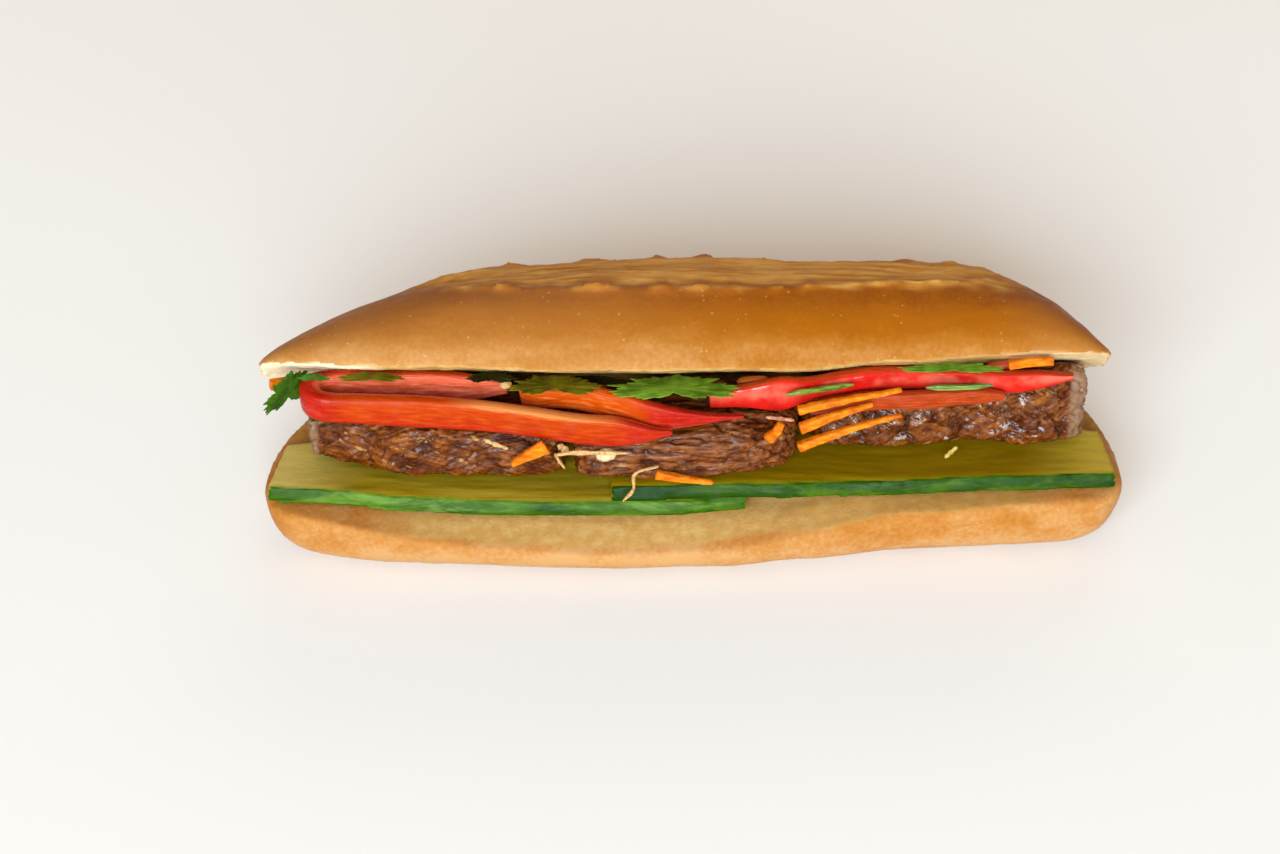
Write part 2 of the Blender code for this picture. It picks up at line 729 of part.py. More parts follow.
def make_strands(collection):
    """Thin pale strands and shreds that hang out between the beef chunks and below them."""
    left = [(-59.4, -23.4, 42.6), (-56.4, -23.8, 41.2), (-52.6, -23.6, 39.4)]
    middle = [(-38.8, -27.6, 40.4), (-34.0, -28.4, 41.8), (-27.0, -28.8, 42.2), (-18.0, -29.2, 42.4)]
    root = [(-20.0, -30.6, 25.6), (-17.0, -29.9, 29.4), (-16.4, -29.0, 34.6), (-9.8, -28.7, 37.2)]
    thick = narrowing(STRAND_THICK, STRAND_THICK)
    sweep("strand_left", left, tapered(1.5, 0.4, 0.5), thick, "strand", collection, 8, 6)
    sweep("strand_middle", middle, tapered(1.6, 0.4, 0.5), thick, "strand", collection, 9, 6)
    sweep("strand_root", root, thick, thick, "strand", collection, 9, 6)
    shreds = {
        "strand_gap": ([(-38.4, -24.4, 41.2), (-36.8, -24.4, 40.2), (-35.6, -24.4, 38.4)], 2.2),
        "strand_fine": ([(-39.4, -21.8, 36.0), (-38.2, -22.0, 33.4), (-36.6, -22.0, 30.6)], 1.0),
        "strand_upper": ([(20.4, -22.2, 49.8), (24.6, -21.8, 48.8), (28.4, -21.4, 48.0)], 1.2),
        "strand_right": ([(76.4, -13.2, 31.2), (74.7, -13.8, 29.6), (73.0, -14.2, 27.9)], 1.6),
    }
    thick = tapered(STRAND_THICK, 0.3, 0.3)
    for name, (route, height) in shreds.items():
        sweep(name, route, tapered(height, 0.3, 0.3), thick, "strand", collection, 4, 6)


def make_slivers(collection):
    """Thin slivers cut from the green of a spring onion."""
    routes = {
        "green_sliver_left": [(26.0, -16.6, 53.4), (36.0, -14.2, 53.4), (45.6, -11.6, 53.0)],
        "green_sliver_right": [(66.0, -12.0, 52.2), (75.0, -12.2, 52.4), (85.0, -12.0, 53.0)],
    }
    for name, route in routes.items():
        sweep(name, route, tapered(1.9, 0.2, 0.2), tapered(1.3, 0.2, 0.2), "leaf", collection, 5, 6)


# Coriander


def leaf_reach(angle, seed):
    """Reach of a coriander leaf's outline: three deep lobes with small teeth."""
    lobes = 0.74 + 0.26 * abs(math.cos(1.5 * angle)) ** 0.7
    teeth = 1.0 + 0.07 * math.cos(9.0 * angle + seed) + 0.06 * math.cos(17.0 * angle + 2.0 * seed)
    stem = 1.0 - 0.5 * math.exp(-(((abs(angle) - math.pi) / 0.45) ** 2))
    return lobes * teeth * stem


def make_leaf(name, centre, across, upward, size, curl, seed, collection):
    """A thin wavy leaf. across and upward are the directions of its face, size its two half sizes."""
    spokes, hoops = (26 if max(size) > LARGE_LEAF else 20), 2
    wide = Vector(across).normalized()
    face = wide.cross(Vector(upward)).normalized()
    length = face.cross(wide)
    middle = Vector(centre)
    bm = bmesh.new()

    def point(angle, share, side):
        reach = share * leaf_reach(angle, seed)
        u, v = reach * math.sin(angle), reach * math.cos(angle)
        wave = curl * (0.5 * math.sin(3.0 * angle + seed) * share * share + u * u - v * v)
        lift = wave + side * 0.5 * LEAF_THICK
        return middle + wide * (u * size[0]) + length * (v * size[1]) + face * lift

    rims = []
    for side in (1.0, -1.0):
        hub = bm.verts.new(point(0.0, 0.0, side))
        rows = []
        for h in range(1, hoops + 1):
            turn = [math.tau * s / spokes - math.pi for s in range(spokes)]
            rows.append([bm.verts.new(point(angle, h / hoops, side)) for angle in turn])
        for s in range(spokes):
            n = (s + 1) % spokes
            bm.faces.new((hub, rows[0][s], rows[0][n]))
            for inner, outer in zip(rows, rows[1:]):
                bm.faces.new((inner[s], outer[s], outer[n]))
                bm.faces.new((inner[s], outer[n], inner[n]))
        rims.append(rows[-1])
    for s in range(spokes):
        n = (s + 1) % spokes
        bm.faces.new((rims[0][s], rims[1][s], rims[1][n], rims[0][n]))
    return add_object(name, bm, "leaf", collection)


def make_leaves(collection):
    """Each leaf's centre, its upward direction, its half sizes and how much it curls."""
    level, turned = (1.0, 0.0, 0.0), (1.0, 0.9, 0.0)
    leaves = {
        "leaf_left": ((-114.8, -12.4, 51.0), (0.0, -0.3, 0.95), (8.8, 7.6), 0.2),
        "leaf_left_low": ((-101.5, -14.6, 44.6), (0.0, 1.0, 0.0), (8.5, 5.0), 0.05),
        "leaf_olive_left": ((-91.0, -14.6, 58.0), (0.0, 1.0, 0.0), (9.4, 2.4), 0.05),
        "leaf_dark_left": ((-57.0, -14.4, 57.8), (0.0, 1.0, 0.0), (6.8, 2.8), 0.1),
        "leaf_olive_middle": ((-39.0, -18.0, 57.8), (0.0, 1.0, -0.05), (12.6, 5.2), 0.25),
        "leaf_dark_middle": ((-30.0, -9.6, 52.6), (0.0, 1.0, 0.0), (12.0, 2.6), 0.1),
        "leaf_centre": ((-5.6, -19.2, 57.8), (0.0, 1.0, -0.08), (18.0, 6.6), 0.3),
        "leaf_right": ((73.0, -12.2, 59.4), (0.0, 1.0, 0.0), (14.6, 2.6), 0.1),
        "leaf_left_top": ((-107.0, -15.8, 58.9), (0.0, -0.3, 0.95), (4.4, 2.0), 0.05),
    }
    for seed, (name, (centre, upward, size, curl)) in enumerate(leaves.items()):
        across = turned if name == "leaf_left" else level
        make_leaf(name, centre, across, upward, size, curl, float(seed), collection)


def stand_on_origin(collection):
    """Moves every mesh so that the whole box stands centred on the origin."""
    points = [vert.co for obj in collection.objects for vert in obj.data.vertices]
    low = [min(point[axis] for point in points) for axis in range(3)]
    high = [max(point[axis] for point in points) for axis in range(3)]
    shift = Vector((-0.5 * (low[0] + high[0]), -0.5 * (low[1] + high[1]), -low[2]))
    for obj in collection.objects:
        for vert in obj.data.vertices:
            vert.co += shift


def build():
    clear_scene()
    collection = new_collection("banh_mi")
    make_roll(collection)
    left_sides = (left_plank_front, left_plank_bottom)
    right_sides = (right_plank_front, right_plank_bottom)
    make_cucumber("cucumber_left", (-122.6, 15.5), left_sides, (4.0, 0.0), collection)
    make_cucumber("cucumber_right", (-23.5, 122.6), right_sides, (0.0, 3.0), collection)
    make_beef_chunks(collection)
    make_peppers(collection)
    make_carrots(collection)
    make_strands(collection)
    make_slivers(collection)
    make_seed("pepper_seed", (-53.3, -12.4, 53.6), collection)
    make_leaves(collection)
    stand_on_origin(collection)


build()
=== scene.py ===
"""Looks of the banh mi sandwich: crust, crumb, beef, cucumber, pepper, carrot and coriander.

Lengths are in millimetres inside the functions and in metres on the objects. The roll lies
along X, its open front faces -Y and it rests on z = 0.
"""

import itertools
import math
import random

import bmesh
import bpy
import numpy as np
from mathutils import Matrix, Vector


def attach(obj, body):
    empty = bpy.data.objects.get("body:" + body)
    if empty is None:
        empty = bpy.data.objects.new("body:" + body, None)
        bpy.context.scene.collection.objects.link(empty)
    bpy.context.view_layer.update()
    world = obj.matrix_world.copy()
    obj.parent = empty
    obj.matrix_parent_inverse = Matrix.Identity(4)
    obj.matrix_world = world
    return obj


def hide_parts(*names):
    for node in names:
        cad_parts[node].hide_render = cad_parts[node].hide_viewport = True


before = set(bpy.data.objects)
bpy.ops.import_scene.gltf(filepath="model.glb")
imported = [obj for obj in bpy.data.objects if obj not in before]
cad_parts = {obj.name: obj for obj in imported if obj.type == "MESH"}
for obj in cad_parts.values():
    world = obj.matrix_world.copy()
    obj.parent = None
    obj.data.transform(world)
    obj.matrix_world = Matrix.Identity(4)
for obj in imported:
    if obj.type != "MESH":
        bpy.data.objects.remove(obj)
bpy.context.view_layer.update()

MM = 0.001

# Where the construction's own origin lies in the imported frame
SHIFT = (-0.2, -4.46, 0.0)

# The roll, as it was built
HINGE_Y = 37.0 + SHIFT[1]
HINGE_Z = 17.5
OPENING = math.radians(40.0)
LIP_RISE = 23.5
SLASH_START = -92.0
SLASH_END = 103.0

# Places across the slash in the shut roll, counted backwards from the hinge, and its greatest breadth
BACK_LIP = -27.0
GROOVE = -44.0
SLASH_BREADTH = 21.0

# Voxel of each kind of piece that is meshed anew
BREAD_VOXEL = 1.05
BEEF_VOXEL = 0.55
PLANK_VOXEL = 0.8
CARROT_VOXEL = 0.34
SLIVER_VOXEL = 0.22
SEED_VOXEL = 0.16

# Sizes of the finer filling, and how blunt the ends of its bands are
RING_HEIGHT = 9.4
RING_WALL = 4.4
STRAND_HALF = 0.5
LEAF_THICK = 0.36
BAND_END = 0.4

# The photograph's view, in metres apart from the sensor: the picture is 1280 by 854 pixels
VIEW_ELEVATION = math.radians(40.0)
VIEW_DISTANCE = 0.8
VIEW_WIDTH = 0.3721
VIEW_CENTRE = (-0.0153, -0.00946, 0.0317)
SENSOR = 36.0

# Half the side of the floor, in metres
FLOOR_REACH = 6.0


# Numbers


def ease(low, high, value):
    """0 below low, 1 above high and a smooth step between them, for numbers and arrays."""
    t = np.clip((value - low) / (high - low), 0.0, 1.0)
    return t * t * (3.0 - 2.0 * t)


def bell(value, centre, width):
    return np.exp(-(((value - centre) / width) ** 2))


def power(value, exponent):
    return np.sign(value) * np.abs(value) ** exponent


def hashed(cells, seed):
    """A scrambled whole number for each cell of a lattice."""
    h = cells[:, 0] * 73856093 ^ cells[:, 1] * 19349663 ^ cells[:, 2] * 83492791 ^ (seed + 1) * 2654435761
    h &= 0xFFFFFFFF
    h = ((h ^ (h >> 15)) * 2246822519) & 0xFFFFFFFF
    h = ((h ^ (h >> 13)) * 3266489917) & 0xFFFFFFFF
    return h ^ (h >> 16)


def noise(points, seed=0):
    """Smooth noise, about -1 to 1, at rows of places."""
    cell = np.floor(points).astype(np.int64)
    part = points - cell
    fade = part**3 * (part * (part * 6.0 - 15.0) + 10.0)
    total = np.zeros(len(points))
    for corner in itertools.product((0, 1), repeat=3):
        step = np.array(corner)
        h = hashed(cell + step, seed)
        slope = np.stack([(h >> shift & 1023) / 511.5 - 1.0 for shift in (0, 10, 20)], axis=1)
        weight = np.prod(np.where(step == 1, fade, 1.0 - fade), axis=1)
        total += weight * np.sum(slope * (part - step), axis=1)
    return total * 1.6


def layered(points, seed=0, layers=3):
    """Noise with finer noise on top."""
    total, size = np.zeros(len(points)), 1.0
    for layer in range(layers):
        total += noise(points * 2.03**layer, seed + 17 * layer) * size
        size *= 0.5
    return total


def nearest(points, seed=0):
    """Distance from each place to the nearest of a set of scattered dots, one to a cell."""
    cell = np.floor(points).astype(np.int64)
    best = np.full(len(points), 9.0)
    for corner in itertools.product((-1, 0, 1), repeat=3):
        near = cell + np.array(corner)
        h = hashed(near, seed)
        dot = near + np.stack([(h >> shift & 1023) / 1023.0 for shift in (0, 10, 20)], axis=1)
        best = np.minimum(best, np.sum((points - dot) ** 2, axis=1))
    return np.sqrt(best)


# Meshes


def link(name, mesh):
    obj = bpy.data.objects.new(name, mesh)
    bpy.context.scene.collection.objects.link(obj)
    return obj


def evaluated(obj):
    """The object's mesh with its modifiers applied."""
    bpy.context.view_layer.update()
    graph = bpy.context.evaluated_depsgraph_get()
    mesh = bpy.data.meshes.new_from_object(obj.evaluated_get(graph))
    obj.modifiers.clear()
    obj.data = mesh
    return obj


def fine_copy(node, name, voxel, smoothing):
    """A fine, evenly meshed copy of a node of the frame."""
    bm = bmesh.new()
    bm.from_mesh(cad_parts[node].data)
    bmesh.ops.remove_doubles(bm, verts=bm.verts, dist=1e-6)
    mesh = bpy.data.meshes.new(name)
    bm.to_mesh(mesh)
    bm.free()
    obj = link(name, mesh)
    remesh = obj.modifiers.new("remesh", "REMESH")
    remesh.mode = "VOXEL"
    remesh.voxel_size = voxel * MM
    relax = obj.modifiers.new("relax", "SMOOTH")
    relax.factor = 0.5
    relax.iterations = smoothing
    return evaluated(obj)


def places(obj):
    """Places in millimetres and normals of an object's points, as two arrays."""
    count = len(obj.data.vertices)
    where, facing = np.zeros(count * 3), np.zeros(count * 3)
    obj.data.vertices.foreach_get("co", where)
    obj.data.vertices.foreach_get("normal", facing)
    return where.reshape(-1, 3) / MM, facing.reshape(-1, 3)


def move_points(obj, where):
    obj.data.vertices.foreach_set("co", (where * MM).ravel())
    obj.data.update()
    obj.data.shade_smooth()


def store(obj, name, values):
    """Keeps one number for each point, for a material to read."""
    layer = obj.data.attributes.new(name, "FLOAT", "POINT")
    layer.data.foreach_set("value", np.asarray(values, dtype=np.float32))


def finish_piece(obj, material, slot, *nodes):
    obj.data.materials.clear()
    obj.data.materials.append(material)
    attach(obj, "root")
    if nodes:
        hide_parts(*nodes)
    return obj


# Material nodes


class Shade:
    """A material under construction, with short calls for the nodes that it needs."""

    def __init__(self, name, **sockets):
        self.material = bpy.data.materials.new(name)
        self.material.use_nodes = True
        self.tree = self.material.node_tree
        self.shader = self.tree.nodes["Principled BSDF"]
        for socket, value in sockets.items():
            self.shader.inputs[socket.replace("_", " ")].default_value = value
        self.place = self.tree.nodes.new("ShaderNodeTexCoord").outputs["Object"]

    def node(self, kind, inputs, **settings):
        made = self.tree.nodes.new(kind)
        for setting, value in settings.items():
            setattr(made, setting, value)
        for key, value in inputs.items():
            if isinstance(value, bpy.types.NodeSocket):
                self.tree.links.new(value, made.inputs[key])
            else:
                made.inputs[key].default_value = value
        return made

    def link(self, output, socket):
        self.tree.links.new(output, self.shader.inputs[socket])

    def stored(self, name):
        return self.node("ShaderNodeAttribute", {}, attribute_name=name).outputs["Fac"]

    def stretched(self, scale, source=None):
        return self.node("ShaderNodeMapping", {0: source or self.place, 3: scale}).outputs[0]

    def noise(self, size_mm, detail=3.0, roughness=0.55, source=None, distortion=0.0):
        """Noise with lumps of about size_mm."""
        inputs = {"Vector": source or self.place, "Scale": 1.0 / (size_mm * MM), "Detail": detail}
        inputs.update({"Roughness": roughness, "Distortion": distortion})
        return self.node("ShaderNodeTexNoise", inputs).outputs[0]

    def dots(self, size_mm):
        """Distance to the nearest of dots that lie about size_mm apart."""
        inputs = {"Vector": self.place, "Scale": 1.0 / (size_mm * MM)}
        return self.node("ShaderNodeTexVoronoi", inputs).outputs["Distance"]

    def span(self, value, low, high, to_low=0.0, to_high=1.0):
        inputs = {0: value, 1: low, 2: high, 3: to_low, 4: to_high}
        return self.node("ShaderNodeMapRange", inputs, interpolation_type="SMOOTHSTEP").outputs[0]

    def math(self, operation, a, b):
        return self.node("ShaderNodeMath", {0: a, 1: b}, operation=operation).outputs[0]

    def ramp(self, value, stops):
        made = self.node("ShaderNodeValToRGB", {0: value})
        elements = made.color_ramp.elements
        while len(elements) < len(stops):
            elements.new(0.5)
        for element, (place, colour) in zip(elements, stops):
            element.position = place
            element.color = (*colour, 1.0)
        return made.outputs[0]

    def mix(self, share, a, b):
        made = self.node("ShaderNodeMix", {}, data_type="RGBA")
        for key, value in ((0, share), (6, a), (7, b)):
            if isinstance(value, bpy.types.NodeSocket):
                self.tree.links.new(value, made.inputs[key])
            elif key == 0:
                made.inputs[0].default_value = value
            else:
                made.inputs[key].default_value = (*value, 1.0)
        return made.outputs[2]

    def bump(self, height, depth_mm, strength, under=None):
        inputs = {"Height": height, "Distance": depth_mm * MM, "Strength": strength}
        if under:
            inputs["Normal"] = under
        return self.node("ShaderNodeBump", inputs).outputs[0]


# Bread


def shut_frame(where, facing):
    """Points of the top half in the frame it has while the roll is shut: depth, rise and facing."""
    back, up = where[:, 1] - HINGE_Y, where[:, 2] - HINGE_Z
    cos, sin = math.cos(OPENING), math.sin(OPENING)
    depth = back * cos - up * sin
    rise = back * sin + up * cos
    return depth, rise, facing[:, 1] * sin + facing[:, 2] * cos


# Knobs of crisp crust along the two lips of the slash: place along the roll and size
BACK_KNOBS = (
    (-88.0, 0.7), (-53.5, 0.9), (-35.0, 1.0), (-29.5, 1.5), (-23.0, 0.9), (-10.5, 1.0), (-4.0, 0.7),
    (3.5, 1.2), (13.0, 0.7), (21.0, 0.7), (31.0, 0.7), (37.0, 0.5), (43.0, 0.7), (53.0, 0.6),
    (62.0, 0.8), (69.0, 0.5), (76.0, 0.7), (86.0, 0.8), (95.0, 0.8), (103.0, 0.8),
)
FRONT_KNOBS = (
    (-54.0, 1.0), (-41.0, 0.6), (-31.0, 1.2), (-25.0, 1.2), (-9.0, 1.0), (1.5, 1.0), (11.0, 0.7),
    (24.0, 0.5), (33.0, 0.8), (46.0, 0.5), (55.0, 0.9), (59.0, 0.6), (70.0, 0.5), (84.0, 0.5),
)

# The front edge of the bottom half's cut face: along the roll, and height
CUT_ALONG = (-122.5, -104.0, -83.9, -55.3, -26.6, 2.1, 30.9, 59.6, 88.5, 106.0, 122.8)
CUT_RISE = (19.5, 18.0, 15.5, 13.0, 12.0, 13.0, 15.5, 18.0, 20.0, 20.5, 20.7)


def knob_field(x, across, knobs, width):
    """1 or so on each knob of a lip and 0 between them."""
    total = np.zeros(len(x))
    for place, size in knobs:
        total += size * bell(x, place, width * (0.7 + 0.5 * size)) * bell(across, 0.0, 1.7)
    return total


def make_bread():
    bread = fine_copy("bread", "bread_fine", BREAD_VOXEL, 5)
    where, facing = places(bread)
    depth, rise, lid_facing = shut_frame(where, facing)
    x = where[:, 0]
    lid = ease(-3.4, -1.6, rise)
    front = ease(10.0, -10.0, where[:, 1])
    edge = np.interp(x - SHIFT[0], CUT_ALONG, CUT_RISE)
    strip = ease(0.62, 0.86, facing[:, 2]) * ease(edge - 1.4, edge - 0.2, where[:, 2])
    strip = np.where(front > 0.5, strip, ease(0.35, 0.75, facing[:, 2]) * ease(7.0, 9.5, where[:, 2]))
    roof = ease(0.45, 0.80, -lid_facing) * (1.0 - ease(4.0, 8.0, rise))
    inside = np.where(lid > 0.5, roof, strip)
    span = ease(SLASH_START, SLASH_START + 22.0, x) * (1.0 - ease(SLASH_END - 20.0, SLASH_END, x))
    middle, reach = 0.5 * (SLASH_START + SLASH_END), 0.5 * (SLASH_END - SLASH_START)
    lens = np.sqrt(np.clip(1.0 - ((x - middle) / reach) ** 2, 0.0, 1.0))
    far = GROOVE + SLASH_BREADTH * lens + 3.0 * layered(where * 0.09, 23, 3)
    behind = 1.0 - ease(far - 2.5, far + 2.5, depth)
    lip = LIP_RISE + 1.3 * noise(np.stack([x * 0.05, x * 0.0, x * 0.0], axis=1), 19)
    lip += 1.2 * noise(where * 0.22, 20)
    groove = bell(depth, GROOVE, 3.0) * ease(18.5, 21.5, rise)
    slash = lid * span * behind * np.maximum(ease(lip - 1.4, lip + 1.4, rise), groove)
    crust = 1.0 - inside

    relief = 0.5 * noise(where * 0.035, 1) + 0.16 * noise(where * 0.13, 2)
    relief += crust * 0.035 * layered(where * 0.5, 3, 2)
    grain = where * np.array([0.028, 0.42, 0.42])
    torn = 1.0 - np.abs(layered(grain, 5, 3))
    relief += slash * (0.5 * (torn - 0.65) + 0.22 * layered(where * np.array([0.2, 0.7, 0.7]), 6, 2))
    back = knob_field(x, depth - BACK_LIP, BACK_KNOBS, 2.0) * ease(12.0, 20.0, rise)
    brow = knob_field(x, rise - LIP_RISE - 0.5, FRONT_KNOBS, 2.2) * (1.0 - ease(-52.0, -44.0, depth))
    brow *= 0.6 + 0.9 * np.abs(layered(where * 0.45, 21, 2))
    relief += lid * (1.6 * back * (0.7 + 0.6 * noise(where * 0.5, 22)) + 0.5 * brow)
    relief += 1.5 * lid * span * bell(depth, GROOVE + 1.0, 4.0) * ease(17.0, 21.0, rise)
    pores = nearest(where * np.array([0.32, 0.5, 0.5]), 7)
    open_crumb = inside * (0.25 + 0.75 * lid)
    relief -= open_crumb * 0.6 * (1.0 - ease(0.12, 0.42, pores))
    relief += open_crumb * 0.35 * layered(where * np.array([0.07, 0.4, 0.4]), 8, 3)
    crease = bell(x + 0.32 * (where[:, 2] - 8.0), -81.0, 1.1) * bell(where[:, 2], 7.0, 6.0)
    relief -= 0.35 * crease * (1.0 - lid) * crust
    grounded = (1.0 - lid) * (1.0 - ease(0.5, 3.0, where[:, 2]))
    relief = np.where(grounded > 0.0, np.minimum(relief, 0.0) * (1.0 - grounded), relief)
    move_points(bread, where + facing * relief[:, None])

    patch = layered(where * np.array([0.018, 0.035, 0.035]), 9, 2)
    baked = 0.16 + 0.30 * ease(4.0, 13.0, rise) + 0.30 * ease(12.0, 22.5, rise)
    baked += 0.03 * ease(20.0, 110.0, x) + 0.07 * ease(96.0, 122.0, np.abs(x))
    under = 0.02 + 0.10 * ease(6.0, 14.0, where[:, 2])
    baked = np.where(lid > 0.5, baked, under) + 0.07 * patch
    soaked = 0.30 + 0.25 * noise(where * np.array([0.03, 0.15, 0.15]), 12)
    shown = ease(-96.0, -74.0, x) * ease(108.0, 92.0, x)
    inside = np.where((lid < 0.5) & (front > 0.5), inside * shown, inside)
    # below and above turn the crumb darker brown deep inside the roll, towards the hinge.
    below = (1.0 - lid) * ease(-24.0, -14.0, where[:, 1])
    above = lid * ease(-50.0, -38.0, depth) * ease(118.0, 98.0, np.abs(x))
    rightward = 0.40 * ease(-10.0, 90.0, x)
    tan = lid * (0.7 * ease(30.0, -60.0, x) + 0.6 * ease(80.0, 110.0, np.abs(x)))
    store(bread, "tan", np.clip(tan, 0.0, 1.0))
    # tip is painted light: it turns the crumb under the lid's two tips pale, the left one most.
    store(bread, "tip", lid * (0.95 * ease(-84.0, -100.0, x) + 0.35 * ease(84.0, 100.0, x)))
    store(bread, "inside", inside)
    store(bread, "slash", slash)
    store(bread, "torn", torn)
    store(bread, "baked", np.clip(baked, 0.0, 1.0))
    store(bread, "knob", np.clip(lid * (back + brow), 0.0, 1.0))
    soaked = 0.8 * (below + above) + (0.55 * soaked + rightward) * (1.0 - lid)
    store(bread, "soaked", np.clip(soaked, 0.0, 1.0))
    return finish_piece(bread, bread_material(), "crust", "bread")


def bread_material():
    s = Shade("crust_and_crumb", Roughness=0.5)
    s.shader.inputs["Specular IOR Level"].default_value = 0.14
    s.shader.inputs["Specular Tint"].default_value = (1.0, 0.75, 0.45, 1.0)
    mottle = s.noise(7.0, 3.0, 0.5, s.stretched((0.6, 1.0, 1.0)))
    fine = s.noise(1.4, 3.0)
    tone = s.math("ADD", s.stored("baked"), s.span(mottle, 0.3, 0.7, -0.06, 0.06))
    tone = s.math("ADD", tone, s.span(fine, 0.3, 0.7, -0.045, 0.045))
    crust = s.ramp(tone, [
        (0.0, (0.47, 0.240, 0.086)),
        (0.12, (0.42, 0.170, 0.040)),
        (0.24, (0.36, 0.123, 0.013)),
        (0.45, (0.31, 0.088, 0.002)),
        (0.65, (0.29, 0.077, 0.003)),
        (0.82, (0.23, 0.056, 0.003)),
        (1.0, (0.16, 0.034, 0.002)),
    ])
    crust = s.mix(s.math("MULTIPLY", s.stored("tan"), 0.12), crust, (0.62, 0.40, 0.19))
    specks = s.span(s.dots(1.9), 0.10, 0.26, 1.0, 0.0)
    chosen = s.span(s.noise(5.0, 2.0), 0.52, 0.66)
    crust = s.mix(s.math("MULTIPLY", s.math("MULTIPLY", specks, chosen), 0.28), crust, (0.72, 0.44, 0.17))
    streaks = s.noise(2.4, 4.0, 0.6, s.stretched((0.10, 1.0, 1.0)))
    pulled = s.math("ADD", s.math("MULTIPLY", s.stored("torn"), 0.55), s.math("MULTIPLY", streaks, 0.6))
    torn = s.ramp(pulled, [
        (0.35, (0.42, 0.155, 0.020)),
        (0.60, (0.52, 0.228, 0.036)),
        (0.80, (0.63, 0.320, 0.068)),
        (1.0, (0.74, 0.430, 0.125)),
    ])
    crust = s.mix(s.math("MULTIPLY", s.stored("slash"), 0.85), crust, torn)
    flecks = s.span(s.noise(1.8, 3.0, 0.6, s.stretched((0.35, 1.0, 1.0))), 0.60, 0.72)
    flecked = s.math("MULTIPLY", s.math("MULTIPLY", flecks, s.stored("slash")), 0.5)
    crust = s.mix(flecked, crust, (0.28, 0.080, 0.010))
    crust = s.mix(s.math("MULTIPLY", s.stored("knob"), 0.7), crust, (0.27, 0.066, 0.005))
    crumb = s.mix(s.span(s.noise(3.0, 4.0, 0.6), 0.35, 0.7), (0.44, 0.235, 0.065), (0.51, 0.32, 0.115))
    # Painted light: the crumb under the lid's tips is turned pale cream.
    crumb = s.mix(s.stored("tip"), crumb, (0.96, 0.76, 0.50))
    sauce = s.mix(s.span(s.noise(3.2, 4.0), 0.4, 0.7), (0.36, 0.155, 0.022), (0.26, 0.090, 0.008))
    wet = s.math("MULTIPLY", s.stored("soaked"), s.span(s.noise(6.0, 4.0, 0.6), 0.35, 0.6, 0.6, 1.0))
    crumb = s.mix(wet, crumb, sauce)
    s.link(s.mix(s.stored("inside"), crust, crumb), "Base Color")
    s.link(s.span(s.noise(3.0, 3.0), 0.3, 0.7, 0.42, 0.60), "Roughness")
    rough = s.math("ADD", s.math("MULTIPLY", s.stored("inside"), 0.8), 0.25)
    grainy = s.math("MULTIPLY", s.noise(0.8, 4.0, 0.6), rough)
    s.link(s.bump(s.math("ADD", grainy, s.math("MULTIPLY", specks, 0.2)), 0.22, 0.65), "Normal")
    return s.material


# Beef


def grain_along(where, direction, stretch):
    """Places squeezed along a direction, so that noise at them makes fibres that run that way."""
    along = where @ direction
    return where - np.outer(along, direction) * (1.0 - stretch)


# The pale seed that lies on the middle chunk, and its reach
SEED_PLACE = (-24.8, -25.6, 38.1)
SEED_REACH = (2.9, 2.2, 2.4)


def make_beef(node, seed, fibre, rough):
    """A braised chunk. fibre gives the direction of its fibres, rough the size of its lumps."""
    beef = fine_copy(node, node + "_fine", BEEF_VOXEL, 3)
    where, facing = places(beef)
    direction = np.array(Vector(fibre).normalized())
    warped = where + 1.6 * np.stack([noise(where * 0.09, seed + k) for k in range(3)], axis=1)
    strands = 1.0 - np.abs(layered(grain_along(warped, direction, 0.09) * 0.62, seed + 4, 3))
    threads = 1.0 - np.abs(layered(grain_along(warped, direction, 0.06) * 1.7, seed + 5, 2))
    lumps = layered(where * 0.16, seed + 6, 3)
    gaps = 1.0 - np.abs(noise(grain_along(warped, direction, 0.2) * 0.24, seed + 7))
    height = 0.65 * rough * lumps + 0.85 * (strands - 0.7) + 0.35 * (threads - 0.7)
    height -= 1.1 * ease(0.90, 1.0, gaps)
    lower = where[:, 2].min()
    resting = 1.0 - 0.8 * (1.0 - ease(lower, lower + 3.0, where[:, 2]))
    hidden = 1.0 - 0.75 * ease(0.3, 0.9, facing[:, 1])
    height = np.clip(height, -1.8, 1.0) * resting * hidden - 0.15
    pip = np.zeros(len(where))
    if node == "beef_middle":
        away = (where - np.array(SEED_PLACE) - np.array(SHIFT)) / np.array(SEED_REACH)
        pip = 1.0 - ease(0.88, 1.06, np.linalg.norm(away, axis=1))
    move_points(beef, where + facing * (height * (1.0 - pip))[:, None])
    # Painted shade: the depth of each point in the relief, so that the meat is darker in its crevices and
    # paler on its ridges.
    store(beef, "painted_crevice_shade", np.clip(0.5 + 0.42 * height, 0.0, 1.0))
    store(beef, "pip", pip)
    band = np.zeros(len(where))
    if node == "beef_left":
        band = 1.0 - ease(1.8, 3.4, where[:, 0] - where[:, 0].min())
    if node == "beef_right":
        band = 1.0 - ease(1.4, 3.0, np.abs(where[:, 0] - (where[:, 0].max() - 3.0)))
    store(beef, "fascia", band * ease(-0.6, -0.1, 0.2 - facing[:, 1]))
    return finish_piece(beef, beef_material(node), "beef", node)


# For each chunk: turn of its fibres, share of gloss, share of pink and share of fat
BEEF_LOOKS = {
    "beef_left": (-0.35, 0.35, 0.25, 0.55),
    "beef_middle": (0.10, 0.25, 0.65, 0.30),
    "beef_right": (0.60, 1.00, 0.25, 0.30),
}


